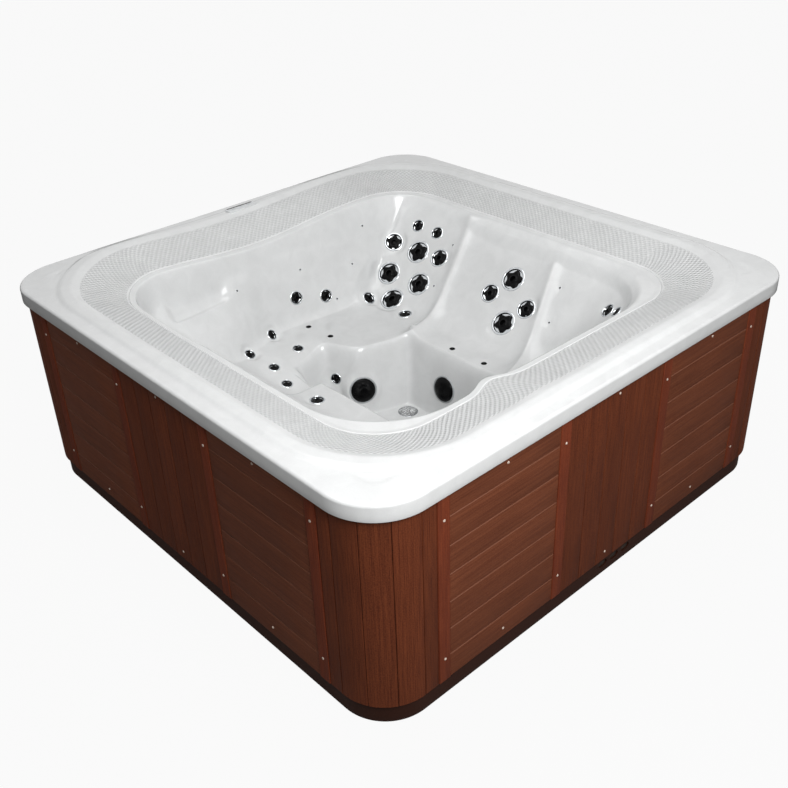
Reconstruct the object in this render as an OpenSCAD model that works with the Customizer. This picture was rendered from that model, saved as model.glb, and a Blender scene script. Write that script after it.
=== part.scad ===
// Hot tub: moulded shell with a lounge, a captain's seat and two more seats,
// wood grain skirt on a frame, star faced water jets, suction fittings, lights,
// control panel, pumps and heater.
// Frame: origin on the ground under the middle of the tub, +Z up, millimetres.
// Front is the -Y side, the side with the vent holes in the base.

/* [Cabinet] */
// half width of the lip round the shell
lip_half = 1050.6; // [900:0.1:1200]
// corner radius of the lip in plan
lip_r = 190; // [80:1:300]
// level of the underside of the lip
lip_low = 774; // [700:1:850]
// level of the flat band at the top of the lip
band_top = 830; // [760:1:900]
// thickness of the lip skirt
lip_t = 12.6; // [6:0.1:20]
// half width of the skirt at the face of its panels
skirt_half = 1034.5; // [880:0.1:1180]
// corner radius of the skirt in plan
skirt_r = 175; // [80:1:280]
// thickness of the skirt panels
panel_t = 18; // [8:0.5:30]
// level of the tops of the skirt panels, hidden by the lip
panel_top = 790; // [740:1:812]
// width of a stile plank
stile_w = 46; // [30:1:80]
// height of a stile's face over the panels
stile_proud = 2.5; // [0.5:0.1:3]
// distance of the inner stiles from the middle of a side
stile_in = 261; // [180:1:360]
// width of the straight part of a corner panel, up to the gap beside the outer stile
corner_flat = 54.8; // [30:0.1:120]
// gap beside a stile
stile_gap = 2; // [0.5:0.1:6]
// pitch of the horizontal boards
board_pitch = 103.7; // [60:0.1:160]
// level of the lowest groove between horizontal boards
board_first = 168; // [120:1:200]
// pitch of the boards in the middle panel
plank_pitch = 94.4; // [60:0.1:140]
// width of the grooves between boards
groove_w = 4; // [2:0.1:8]
// depth of the grooves between boards
groove_d = 2.5; // [1:0.1:5]

/* [Base and frame] */
// step of the base pan back from the face of the skirt
pan_inset = 10.4; // [2:0.1:17]
// corner radius of the base pan
pan_r = 170; // [80:1:280]
// height of the base pan
pan_h = 75; // [50:1:120]
// wall thickness of the base pan
pan_wall = 6; // [3:0.5:10]
// floor thickness of the base pan
pan_floor = 8; // [4:0.5:15]
// width of a timber
timber_w = 40; // [30:1:60]
// height of the upper rails
rail_h = 90; // [60:1:120]
// height of the lower rails
sill_h = 125; // [120:1:160]
// width of a floor bearer
bearer_w = 60; // [40:1:80]
// width of a vent hole in the base
vent_w = 46; // [20:1:70]
// height of a vent hole in the base
vent_h = 26; // [12:1:40]

/* [Rim] */
// half size of the mouth across X
mouth_x = 763; // [650:1:850]
// half size of the mouth across Y
mouth_y = 735; // [650:1:850]
// corner radius of the mouth
mouth_r = 215; // [120:1:300]
// level of the mouth edge
mouth_top = 768; // [720:1:800]
// half size of the sloping collar
collar_half = 956; // [900:1:980]
// corner radius of the collar
collar_r = 365; // [250:1:420]
// half size of the raised border
border_half = 996; // [970:1:1010]
// corner radius of the raised border
border_r = 390; // [280:1:430]
// level of the raised border
border_top = 838; // [831:1:860]
// rise of the two humps on the far side
hump_h = 22; // [5:1:40]
// dip of the mouth edge between the humps
dip_h = 14; // [0:1:25]
// depth of the cusp in the near mouth edge
cusp_d = 40; // [0:1:60]
// place of the cusp along X
cusp_x = -255; // [-400:1:-100]
// diameter of the round coaster dimples
coaster_d = 105; // [80:1:130]
// depth of the coaster dimples
coaster_deep = 2.5; // [1:0.1:4]
// distance of the coaster dimples from both middle lines
coaster_at = 890; // [860:1:900]

/* [Seats] */
// level of the seats
seat_top = 404; // [360:1:440]
// level of the seat backs at the mouth
back_top = 752; // [700:1:765]
// rise of the seat backs for each millimetre outwards
back_rise = 1.04; // [0.8:0.01:1.4]
// step of the shoulder along the top of the seat backs
shoulder = 24; // [5:1:40]
// foot of the captain's back: x, y, azimuth it climbs to, level, rise
captain = [418, 430, 14, 405, 1.05];
// lounge back, lower part on the right
lounge_low = [230, 590, 84, 420, 3];
// lounge back, lower part towards the knees
lounge_mid = [-115, 622, 107, 425, 2.4];
// lounge back, upper part
lounge_up = [0, 662, 90, 590, 1.9];
// ramp of the lounge at the knees
ramp_low = [-300, 568, 100, 484, 1];
// ramp of the lounge above the knees
ramp_up = [0, 668, 90, 600, 1.7];
// plan box of the pillow recess: x from, x to, y from, y to
recess = [-565, -270, 655, 728];
// depth of the pillow recess
recess_d = 30; // [5:1:40]
// ridges: foot x and y, top x and y, height, half width
ridge_left = [300, 579, 640, 690, 48, 32];
ridge_mid = [250, 182, 735, 296, 45, 28];
ridge_right = [225, -360, 690, -205, 45, 28];
// slope of the calf rest towards the foot end
calf_fall = 0.25; // [0:0.01:0.4]

/* [Footwell] */
// level of the footwell floor
foot_floor = 120; // [100:1:160]
// level at which the footwell walls pass their named points
wall_level = 230; // [180:1:280]
// walls: x, y, azimuth it leans away to, rise for each millimetre
seat_wall = [214, 60, 0, 5.5];
captain_wall = [100, 190, 72, 5];
left_wall = [-200, 0, 180, 4];
near_wall = [0, -300, -90, 4];
calf_end_wall = [-60, 362, 97, 5];
calf_left_wall = [-180, 0, 180, 4];
calf_right_wall = [-45, 300, 24, 5];
calf_near_wall = [0, 160, -90, 4];
// thickness of the shell and its backing under a seat
shell_t = 28; // [20:1:40]
// thickness of the shell and its backing behind a wall
wall_t = 30; // [20:1:40]
// thickness of the band
band_t = 14; // [8:1:20]

/* [Jets] */
// jet sizes, large to mini: flange radius, star radius, barrel radius, depth
jet_large = [55, 42, 48.5, 62];
jet_medium = [44, 33, 38.5, 58];
jet_small = [31, 22, 26.5, 52];
jet_mini = [25, 17, 21, 44];
// depth a fitting's flange sits into its moulded seat
seat_sink = 2; // [0.5:0.1:4]
// thickness of a flange
flange_t = 4; // [2:0.1:6]
// radius of the pivot of a star face, as a share of its star radius
pivot_share = 0.36; // [0.3:0.01:0.5]
// running gap round a pivot and round a button
run_gap = 0.05; // [0.02:0.01:0.1]
// gap round parts that stand still
fit_gap = 0.3; // [0.1:0.1:1]

/* [Fittings] */
// radius of the ring of a suction fitting
suction_ring_r = 59; // [50:0.5:70]
// radius of the dome of a suction cover
suction_r = 51.5; // [40:0.5:60]
// radius of the lens of the floor light
light_r = 38; // [30:0.5:50]
// radius of a small light
led_r = 6.5; // [4:0.5:10]
// radius of an air injector's cap
injector_r = 12.5; // [8:0.5:20]
// length of the control panel
panel_len = 148; // [120:1:180]
// width of the control panel
panel_wide = 40; // [30:1:44]
// distance of the control panel from the middle of the tub
panel_at = 970; // [960:1:976]
// radius of a button
button_r = 8; // [6:0.5:10]
// travel of a button
button_travel = 1.2; // [0.5:0.1:2]

/* [Hidden] */
$fn = 48;
large = 0;
medium = 1;
small = 2;
mini = 3;
jet_sizes = [jet_large, jet_medium, jet_small, jet_mini];
// jets: x, y, size
jets = [[654, 547, small], [665, 437, small], [565, 615, medium], [584, 477, large],
    [600, 360, medium], [477, 558, large], [499, 389, large], [408, 467, large],
    [351, 557, small], [372, 345, small],
    [627, -48, large], [564, 23, medium], [560, -179, medium], [498, -112, large],
    [610, -540, small], [585, -597, mini],
    [14, 643, small], [156, 618, small],
    [-162, 599, mini], [-136, 457, mini], [-319, 541, mini], [-293, 415, mini],
    [-311, 310, mini], [-351, 65, small], [-50, 327, mini]];
// suction fittings, floor light, small lights and air injectors: x, y
suctions = [[7, 221], [217.6, -45]];
floor_light_at = [138, 90];
leds = [[455, 703], [337, 646], [71, 677], [-255, 681], [204, 604],
    [653, 326], [516, 309], [286, 215], [650, -276], [548, -311]];
injectors = [[4, 560], [14, 425], [290, -23], [290, -199]];
// levels of the screws through the stiles
stile_screws = [166.2, 685.8];
// levels and places of the screws through the panels
panel_screw_levels = [110.2, 745.7];
screw_r = 2;
screw_len = 40;
screw_head_r = 4.5;
screw_head_t = 2.2;
pilot_gap = 0.1;
// the rounded corners of the skirt begin here, and the rails reach as far
rail_reach = skirt_half - skirt_r;
stile_out = rail_reach - corner_flat - stile_gap - stile_w / 2;
panel_screw_at = [-1, 0, 1] * (stile_in + stile_out) / 2;
pan_half = skirt_half - pan_inset;
// inner face of the skirt and outer face of the timbers
skirt_in = skirt_half - panel_t;
timber_out = skirt_in - 0.2;
timber_in = timber_out - timber_w;
// lines of the shell mesh: line, place on the mouth, x and y of the seat edge
shell_lines = [[0, 0, 205, -343], [5, 5.2, 246, -343], [13, 12.65, 246, 179],
    [16, 16, 130, 217], [19, 19.4, 13.5, 254.7], [21, 21.5, -50.6, 398.2],
    [24, 24, -75, 396], [32, 32, -150, 387], [36, 36, -223.5, 377],
    [40, 40, -243.5, 338], [48, 48, -243.5, 250], [64, 64, -243.5, -250],
    [68, 68, -243.5, -343], [72, 72, -200, -343], [88, 88, 130, -343],
    [96, 96, 205, -343]];
side_n = 16;
corner_n = 8;
turn_n = side_n + corner_n;

// shaping functions
function clamp(v, lo, hi) = min(max(v, lo), hi);
function mix(a, b, t) = a + (b - a) * t;
function soft_min(a, b, k) =
    let (h = clamp(0.5 + 0.5 * (b - a) / k, 0, 1)) b * (1 - h) + a * h - k * h * (1 - h);
function soft_max(a, b, k) = -soft_min(-a, -b, k);
function ease(v, lo, hi) = let (t = clamp((v - lo) / (hi - lo), 0, 1)) t * t * (3 - 2 * t);
function bump(v, c, w) = exp(-pow((v - c) / w, 2));
function within(v, lo, hi, w) =
    ease(v, lo - w / 2, lo + w / 2) * ease(-v, -hi - w / 2, -hi + w / 2);
function beyond(x, y, ax, ay, r) = let (qx = abs(x) - ax + r, qy = abs(y) - ay + r)
    norm([max(qx, 0), max(qy, 0)]) + min(max(qx, qy), 0) - r;
function climb(x, y, px, py, az) = (x - px) * cos(az) + (y - py) * sin(az);
function slope(x, y, s) = s[3] + s[4] * climb(x, y, s[0], s[1], s[2]);
function wall(x, y, s) = wall_level + s[3] * climb(x, y, s[0], s[1], s[2]);
function ridge(x, y, s) =
    let (run = norm([s[2] - s[0], s[3] - s[1]]),
        ux = (s[2] - s[0]) / run,
        uy = (s[3] - s[1]) / run,
        along = (x - s[0]) * ux + (y - s[1]) * uy,
        off = (y - s[1]) * ux - (x - s[0]) * uy,
        past = max(-along, along - run, 0))
    s[4] * exp(-(off * off + past * past) / (s[5] * s[5]));

// the top of the rim
function far_side(y) = ease(y, 250, 740);
function humps(x, y) = far_side(y) * hump_h * (bump(x, -600, 260) + bump(x, 480, 330));
function dip(x, y) = dip_h * bump(x, -60, 240) * far_side(y);
function cusp(x, y) = cusp_d * bump(x, cusp_x, 70) * ease(-y, 450, 650);
function past_mouth(x, y) = beyond(x, y, mouth_x, mouth_y, mouth_r) + cusp(x, y);
function collar_share(x, y) =
    let (dm = past_mouth(x, y), dc = beyond(x, y, collar_half, collar_half, collar_r))
    dc >= 0 ? 1 : clamp(dm / max(dm - dc, 0.001), 0, 1);
function rim(x, y) =
    let (t = collar_share(x, y),
        u = clamp(beyond(x, y, border_half, border_half, border_r) / 20, -1, 1),
        step = (border_top - band_top) * (0.5 + 0.5 * sin(90 * u)),
        z = t < 1 ? mouth_top + (border_top - mouth_top) * pow(t, 1.15) : border_top - step,
        fade = clamp(-beyond(x, y, lip_half, lip_half, lip_r) / 90, 0, 1))
    z + humps(x, y) * fade - dip(x, y) * (1 - t);

// the seats and backs, with share of the ridges and of the recess
function seat_back(x, y) =
    let (qx = abs(x) - mouth_x + 330, qy = -y - mouth_y + 330,
        d = norm([max(qx, 0), max(qy, 0)]) + min(max(qx, qy), 0) - 330)
    back_top + back_rise * d + shoulder * ease(d, -60, -32);
function seats(x, y) = soft_max(soft_max(seat_top, seat_back(x, y), 80), slope(x, y, captain), 60);
function lounge(x, y, share) =
    let (low = soft_max(slope(x, y, lounge_low), slope(x, y, lounge_mid), 30),
        hollow = within(x, recess[0], recess[1], 60) * within(y, recess[2], recess[3], 30),
        ramp = soft_max(slope(x, y, ramp_low), slope(x, y, ramp_up), 60)
            - share * recess_d * hollow,
        upper = mix(ramp, slope(x, y, lounge_up), ease(x, -200, 20)),
        calf = seat_top - calf_fall * soft_max(500 - y, 0, 80) * ease(-x, 20, 140),
        side = back_top + back_rise * (-x - mouth_x))
    soft_max(soft_max(calf, side, 80), soft_min(low, upper, 40), 40);
function lounge_zone(x, y) =
    max(ease(climb(x, y, 241, 562, 106), -25, 25),
        ease(-x, -20, 60) * ease(-x, -60, 60) * ease(y, 150, 210));
function footwell(x, y) =
    let (main_a = soft_max(wall(x, y, seat_wall), wall(x, y, captain_wall), 120),
        main_b = soft_max(wall(x, y, left_wall), wall(x, y, near_wall), 60),
        end_a = soft_max(wall(x, y, calf_end_wall), wall(x, y, calf_left_wall), 60),
        end_b = soft_max(end_a, wall(x, y, calf_right_wall), 100),
        end_c = soft_max(end_b, wall(x, y, calf_near_wall), 60))
    soft_max(foot_floor, soft_min(soft_max(main_a, main_b, 60), end_c, 140), 60);
function carved(x, y, share) =
    let (raised = mix(seats(x, y), lounge(x, y, share), lounge_zone(x, y))
            + share * (ridge(x, y, ridge_left) + ridge(x, y, ridge_mid) + ridge(x, y, ridge_right)))
    soft_min(raised, footwell(x, y), 80);

// the whole top of the shell; share 0 leaves out ridges and recess
function level_at(x, y, share = 1) =
    let (d = past_mouth(x, y))
    d > 30 ? rim(x, y) :
    let (steep = 5 - 2.8 * ease(x, 250, 600) * ease(y, 250, 600),
        edge = mouth_top + humps(x, y) - dip(x, y) + 8 + steep * d)
    soft_min(rim(x, y), soft_max(carved(x, y, share), edge, 30), 10);
function surface_point(p) = [p[0], p[1], level_at(p[0], p[1])];
function surface_normal(p) =
    let (e = 6,
        gx = (level_at(p[0] + e, p[1]) - level_at(p[0] - e, p[1])) / (2 * e),
        gy = (level_at(p[0], p[1] + e) - level_at(p[0], p[1] - e)) / (2 * e))
    [-gx, -gy, 1] / norm([gx, gy, 1]);

// rounded outlines, at a place counted in mesh lines from the +X side
function quarter_turn(p, q) =
    q == 0 ? p : q == 1 ? [-p[1], p[0]] : q == 2 ? [-p[0], -p[1]] : [p[1], -p[0]];
function outline(u, ax, ay, r) =
    let (q = floor(u / turn_n) % 4,
        j = u - turn_n * floor(u / turn_n),
        a = q % 2 == 0 ? ax : ay,
        b = q % 2 == 0 ? ay : ax,
        turn = 90 * (j - side_n) / corner_n,
        p = j < side_n ? [a, (b - r) * (2 * j / side_n - 1)]
            : [a - r + r * cos(turn), b - r + r * sin(turn)])
    quarter_turn(p, q);
function place(k) = lookup(k, [for (s = shell_lines) [s[0], s[1]]]);
function seat_edge(k) =
    [lookup(k, [for (s = shell_lines) [s[0], s[2]]]),
        lookup(k, [for (s = shell_lines) [s[0], s[3]]])];
function floor_edge(k) = 0.55 * seat_edge(k);
function collar_at(k, t) =
    let (p = outline(place(k), mix(mouth_x, collar_half, t), mix(mouth_y, collar_half, t),
            mix(mouth_r, collar_r, t)))
    [p[0], p[1] + (1 - t) * cusp(p[0], p[1])];
function band_at(k, half, r) = outline(place(k), half, half, r);

// a line of the mesh from a to b, cut at even shares of its length and bends
function way(a, b, f) = [mix(a[0], b[0], f), mix(a[1], b[1], f)];
function cuts(a, b, steps) =
    let (n = 40,
        z = [for (j = [0 : n]) level_at(way(a, b, j / n)[0], way(a, b, j / n)[1])],
        run = norm(b - a) / n,
        tilt = [for (j = [0 : n - 1]) atan((z[j + 1] - z[j]) / run)],
        cost = [for (j = [0 : n - 1]) norm([run, z[j + 1] - z[j]])
            + 1.1 * abs(tilt[j] - tilt[max(j - 1, 0)])],
        sums = [for (j = 0, s = 0; j <= n; s = s + (j < n ? cost[j] : 0), j = j + 1) [s, j / n]])
    [for (m = [0 : steps]) lookup(sums[n][0] * m / steps, sums)];

// the closed mesh of the shell: a list of rings, each a list of line numbers
fine_lines = [for (k = [0 : 95]) k];
rim_lines = [for (q = [0 : 3], j = [0 : 15]) 24 * q + (j < 8 ? 2 * j : 8 + j)];
back_lines = [for (k = [0 : 2 : 94]) k];
function index_of(k, list) = len([for (v = list) if (v < k) 1]);
function strip(a, b, from_a, from_b) =
    [for (j = [0 : len(b) - 1])
        let (n = (j + 1) % len(b),
            first = index_of(b[j], a),
            last = n == 0 ? len(a) : index_of(b[n], a))
        each concat(
            [for (i = [first : last - 1]) [from_b + j, from_a + i, from_a + (i + 1) % len(a)]],
            [[from_b + j, from_a + last % len(a), from_b + n]])];
function raise(p, z) = [p[0], p[1], z];
function on_top(p) = surface_point(p);
function inner_line(k) =
    let (m = collar_at(k, 0), s = seat_edge(k), f = floor_edge(k),
        n = m + (s - m) * 12 / norm(s - m),
        high = cuts(n, s, 11), low = cuts(s, f, 8))
    [for (i = [0 : 7]) on_top(way(s, f, low[8 - i])),
        for (i = [0 : 11]) on_top(way(n, s, high[11 - i])),
        on_top(m)];
function backed(p, dir) =
    let (u = dir / norm(dir)) [p[0] + wall_t * u[0], p[1] + wall_t * u[1],
        level_at(p[0], p[1], 0) - shell_t];
function back_line(k) =
    let (m = collar_at(k, 0), s = seat_edge(k), f = floor_edge(k),
        high = cuts(m, s, 7), low = cuts(s, f, 4))
    [for (i = [1 : 6]) backed(way(m, s, high[i]), m - s),
        for (i = [0 : 3]) backed(way(s, f, low[i]), s - f),
        raise(f, foot_floor - wall_t)];

module shell_body() {
    inner = [for (k = fine_lines) inner_line(k)];
    back = [for (k = back_lines) back_line(k)];
    top_rings = [for (r = [0 : 20]) [for (i = [0 : 95]) inner[i][r]]];
    rim_rings = [
        for (t = [0.25, 0.5, 0.75, 1]) [for (k = rim_lines) on_top(collar_at(k, t))],
        for (b = [[976, 378], [996, 390], [1014, 405], [1034, 176]])
            [for (k = rim_lines) on_top(band_at(k, b[0], b[1]))],
        [for (k = rim_lines) raise(band_at(k, lip_half - 4.6, lip_r - 4), band_top - 4.5)],
        [for (k = rim_lines) raise(band_at(k, lip_half, lip_r), band_top - 16)],
        [for (k = rim_lines) raise(band_at(k, lip_half, lip_r), lip_low)],
        [for (k = rim_lines) raise(band_at(k, lip_half - lip_t, lip_r - lip_t), lip_low)]];
    under_rings = [
        [for (k = back_lines) let (p = band_at(k, lip_half - lip_t, lip_r - lip_t))
            raise(p, band_top - band_t)],
        for (b = [[996, 390], [956, 365]]) [for (k = back_lines) let (p = band_at(k, b[0], b[1]))
            raise(p, level_at(p[0], p[1]) - band_t)],
        for (t = [0.6, 0.2]) [for (k = back_lines) let (p = collar_at(k, t))
            raise(p, level_at(p[0], p[1]) - band_t - 2)],
        for (r = [0 : 10]) [for (i = [0 : 47]) back[i][r]]];
    rings = concat(top_rings, rim_rings, under_rings);
    lists = concat([for (r = top_rings) fine_lines], [for (r = rim_rings) rim_lines],
        [for (r = under_rings) back_lines]);
    starts = [for (i = 0, s = 0; i < len(rings); s = s + len(rings[i]), i = i + 1) s];
    last = len(rings) - 1;
    faces = concat(
        [[for (i = [95 : -1 : 0]) i]],
        [for (i = [0 : last - 1]) each strip(lists[i], lists[i + 1], starts[i], starts[i + 1])],
        [[for (i = [0 : 47]) starts[last] + i]]);
    polyhedron([for (r = rings) each r], faces, convexity = 10);
}

// places a fitting on the shell with its axis square to the surface
module on_shell(p) {
    n = surface_normal(p);
    translate(surface_point(p))
        rotate([0, acos(n[2]), atan2(n[1], n[0])])
            children();
}

// what a fitting needs cut in the shell
module fitting_cut(flange_r, barrel_r, depth, sides) {
    grow = 1 / cos(180 / sides);
    hull()
        translate([0, 0, -seat_sink])
            cylinder(h = 60, r = (flange_r + fit_gap) * grow, $fn = sides);
    hull()
        translate([0, 0, -depth - 6])
            cylinder(h = depth + 8, r = (barrel_r + fit_gap) * grow, $fn = sides);
}

module shell() {
    color("white")
        difference() {
            shell_body();
            for (j = jets)
                on_shell(j)
                    fitting_cut(jet_sizes[j[2]][0], jet_sizes[j[2]][2], jet_sizes[j[2]][3] + 26, 12);
            for (p = suctions)
                on_shell(p)
                    fitting_cut(suction_ring_r, 42, 74, 16);
            on_shell(floor_light_at)
                fitting_cut(light_r + 4, light_r - 6, 40, 16);
            for (p = leds)
                on_shell(p)
                    fitting_cut(led_r + 1.5, led_r - 1, 30, 6);
            for (p = injectors)
                on_shell(p)
                    fitting_cut(injector_r, injector_r - 4, 34, 6);
            hull()
                translate([-panel_len / 2 - fit_gap, panel_at - panel_wide / 2 - fit_gap,
                        panel_low - fit_gap])
                    cube([panel_len + 2 * fit_gap, panel_wide + 2 * fit_gap, 60]);
            hull()
                translate([-panel_len / 2 + 14, panel_at - panel_wide / 2 + 6, panel_low - 46.3])
                    cube([panel_len - 28, panel_wide - 12, 60]);
            for (sx = [-1, 1], sy = [-1, 1])
                hull()
                    translate([sx * coaster_at, sy * coaster_at,
                            level_at(sx * coaster_at, sy * coaster_at) - coaster_deep])
                        cylinder(h = 60, d = coaster_d, $fn = 20);
        }
}

// jets
module jet_profile(s) {
    pivot = pivot_share * s[1] + run_gap;
    bowl = s[1] + 2.8;
    neck = s[2] * 0.8;
    polygon([[pivot, -24], [pivot, -9], [s[1] * 0.6, -9], [bowl - 3, -5.5], [bowl, -1],
        [bowl + 1.2, flange_t], [s[0] - 3, flange_t], [s[0], 1], [s[0], 0], [s[2], 0],
        [s[2], -14], [neck, -18], [neck, -s[3]], [0, -s[3]], [0, -s[3] + 6],
        [pivot - 2.5, -s[3] + 6], [pivot - 2.5, -24]]);
}

module jet_body(s) {
    translate([0, 0, -seat_sink])
        rotate_extrude()
            jet_profile(s);
    for (x = [-0.4, 0.4])
        translate([x * s[2], 0, -seat_sink - s[3] - 20])
            cylinder(h = 22, r = s[2] * 0.25);
}

module jet_bodies(size) {
    color("silver")
        for (j = jets)
            if (j[2] == size)
                on_shell(j)
                    jet_body(jet_sizes[size]);
}

module jet_bodies_large() jet_bodies(large);
module jet_bodies_medium() jet_bodies(medium);
module jet_bodies_small() jet_bodies(small);
module jet_bodies_mini() jet_bodies(mini);

// five lobed face that turns in its jet by hand
function star_outline(r) =
    [for (i = [0 : 39]) let (a = 9 * i, q = r * (0.81 + 0.19 * cos(5 * a))) [q * cos(a), q * sin(a)]];

module star_face(i) {
    s = jet_sizes[jets[i][2]];
    pivot = pivot_share * s[1];
    color("dimgray")
        on_shell(jets[i])
            translate([0, 0, -seat_sink])
                difference() {
                    union() {
                        translate([0, 0, -3])
                            linear_extrude(height = 6)
                                polygon(star_outline(s[1]));
                        translate([0, 0, -23])
                            cylinder(h = 21, r = pivot);
                        translate([0, 0, 2])
                            cylinder(h = 3, r1 = s[1] * 0.42, r2 = s[1] * 0.34);
                    }
                    translate([0, 0, -24])
                        cylinder(h = 32, r = pivot - 2.5);
                }
}

module star_captain_1() star_face(0);
module star_captain_2() star_face(1);
module star_captain_3() star_face(2);
module star_captain_4() star_face(3);
module star_captain_5() star_face(4);
module star_captain_6() star_face(5);
module star_captain_7() star_face(6);
module star_captain_8() star_face(7);
module star_captain_9() star_face(8);
module star_captain_10() star_face(9);
module star_right_1() star_face(10);
module star_right_2() star_face(11);
module star_right_3() star_face(12);
module star_right_4() star_face(13);
module star_corner_1() star_face(14);
module star_corner_2() star_face(15);
module star_lounge_1() star_face(16);
module star_lounge_2() star_face(17);
module star_calf_1() star_face(18);
module star_calf_2() star_face(19);
module star_calf_3() star_face(20);
module star_calf_4() star_face(21);
module star_calf_5() star_face(22);
module star_foot() star_face(23);
module star_well() star_face(24);

// suction fittings
module suction_body() {
    translate([0, 0, -seat_sink])
        rotate_extrude()
            polygon([[36, 3], [suction_ring_r - 2, 3], [suction_ring_r, 1], [suction_ring_r, 0],
                [42, 0], [42, -52], [25, -60], [25, -74], [20, -74], [20, -58], [36, -48]]);
}

module suction_cover() {
    difference() {
        translate([0, 0, -seat_sink + 3 + fit_gap])
            rotate_extrude()
                polygon([[0, 20], [14, 19.4], [28, 17], [40, 12.5], [48, 6], [suction_r, 1],
                    [suction_r, 0], [47, 0], [43.5, 5], [36, 10.3], [25, 13.8], [12, 16.2], [0, 16.8]]);
        for (a = [0 : 15 : 345])
            rotate([0, 0, a])
                translate([20, -1.1, -2])
                    cube([13, 2.2, 40]);
        for (a = [7.5 : 15 : 352.5])
            rotate([0, 0, a])
                translate([36, -1.1, 2])
                    cube([9, 2.2, 40]);
    }
}

module suction_bodies() {
    color("silver")
        for (p = suctions)
            on_shell(p)
                suction_body();
}

module suction_covers() {
    color("dimgray")
        for (p = suctions)
            on_shell(p)
                suction_cover();
}

// lights and air injectors
module floor_light() {
    color("lightblue")
        on_shell(floor_light_at)
            translate([0, 0, -seat_sink])
                rotate_extrude()
                    polygon([[0, 11], [12, 10], [24, 7.5], [34, 5], [light_r, 3.5],
                        [light_r + 2, 3], [light_r + 4, 1], [light_r + 4, 0], [light_r - 6, 0],
                        [light_r - 6, -34], [light_r - 9, -34], [light_r - 9, -3], [0, -3]]);
}

module led_lights() {
    color("lightblue")
        for (p = leds)
            on_shell(p)
                translate([0, 0, -seat_sink])
                    rotate_extrude()
                        polygon([[0, 4.6], [3, 4.1], [led_r - 1, 2.6], [led_r + 0.8, 2.2],
                            [led_r + 1.5, 0], [led_r - 1, 0], [led_r - 1, -22], [0, -22]]);
}

module air_injectors() {
    color("dimgray")
        for (p = injectors)
            on_shell(p)
                translate([0, 0, -seat_sink])
                    difference() {
                        rotate_extrude()
                            polygon([[0, 4.5], [injector_r - 4, 3.9], [injector_r - 1, 2.6],
                                [injector_r, 1], [injector_r, 0], [injector_r - 4, 0],
                                [injector_r - 4, -30], [0, -30]]);
                        for (a = [0 : 45 : 315])
                            rotate([0, 0, a])
                                translate([injector_r - 8, -0.7, 1])
                                    cube([5, 1.4, 6]);
                    }
}

// control panel on the far rim, with three buttons
button_x = [-38, 0, 38];
panel_low = border_top - 1.7;
panel_high = border_top + 7;
button_low = panel_high - 5;

module control_panel() {
    color("black")
        difference() {
            union() {
                translate([-panel_len / 2 + 9, panel_at - panel_wide / 2, panel_low])
                    cube([panel_len - 18, panel_wide, panel_high - panel_low]);
                translate([-panel_len / 2, panel_at - panel_wide / 2 + 9, panel_low])
                    cube([panel_len, panel_wide - 18, panel_high - panel_low]);
                for (sx = [-1, 1], sy = [-1, 1])
                    translate([sx * (panel_len / 2 - 9), panel_at + sy * (panel_wide / 2 - 9), panel_low])
                        cylinder(h = panel_high - panel_low, r = 9);
                translate([-panel_len / 2 + 15, panel_at - panel_wide / 2 + 7, panel_low - 17.8])
                    cube([panel_len - 30, panel_wide - 14, 30]);
            }
            for (x = button_x)
                translate([x, panel_at, button_low - button_travel - 0.3])
                    cylinder(h = 20, r = button_r + run_gap);
            translate([-62, panel_at - 6, panel_high - 0.6])
                cube([11, 12, 2]);
            translate([51, panel_at - 6, panel_high - 0.6])
                cube([11, 12, 2]);
        }
}

module button(i) {
    color("gray")
        translate([button_x[i], panel_at, button_low])
            rotate_extrude()
                polygon([[0, 0], [button_r, 0], [button_r, 5.6], [button_r - 1, 6.4],
                    [button_r - 3, 6.6], [0, 6]]);
}

module button_1() button(0);
module button_2() button(1);
module button_3() button(2);

// a rounded slab with straight sides, exact
module slab(half, r, low, high) {
    translate([-half, -half + r, low])
        cube([2 * half, 2 * (half - r), high - low]);
    translate([-half + r, -half, low])
        cube([2 * (half - r), 2 * half, high - low]);
    for (sx = [-1, 1], sy = [-1, 1])
        translate([sx * (half - r), sy * (half - r), low])
            cylinder(h = high - low, r = r);
}

module vent(x) {
    for (sx = [-1, 1])
        translate([x + sx * (vent_w - vent_h) / 2, -pan_half - 5, 42])
            rotate([-90, 0, 0])
                cylinder(h = pan_wall + 10, d = vent_h);
    translate([x - (vent_w - vent_h) / 2, -pan_half - 5, 42 - vent_h / 2])
        cube([vent_w - vent_h, pan_wall + 10, vent_h]);
}

module base_pan() {
    color("saddlebrown")
        difference() {
            slab(pan_half, pan_r, 0, pan_h);
            slab(pan_half - pan_wall, pan_r - pan_wall, pan_floor, pan_h + 10);
            vent(12);
            vent(76);
            vent(140);
        }
}

// repeats a side's parts on all four sides, side 1 is the front
module on_side(n) {
    rotate([0, 0, 90 * (n - 1)])
        children();
}

module screw_hole(x, z, r) {
    translate([x, -skirt_half - 20, z])
        rotate([-90, 0, 0])
            cylinder(h = 90, r = r);
}

module side_screw_holes(r) {
    for (x = [-stile_out, -stile_in, stile_in, stile_out], z = stile_screws)
        screw_hole(x, z, r);
    for (x = panel_screw_at, z = panel_screw_levels)
        screw_hole(x, z, r);
}

// timber frame
sill_low = pan_floor + 0.2;
sill_high = sill_low + sill_h;
// the rails lie close under the lowest place of the rim above them
rail_top = min([for (x = [-1 : 0.1 : 1], y = [-timber_in, -timber_out, timber_in, timber_out])
    each [rim(x * rail_reach, y), rim(y, x * rail_reach)]]) - band_t - 0.5;
rail_low = rail_top - rail_h;
timber_gap = 0.2;

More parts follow.
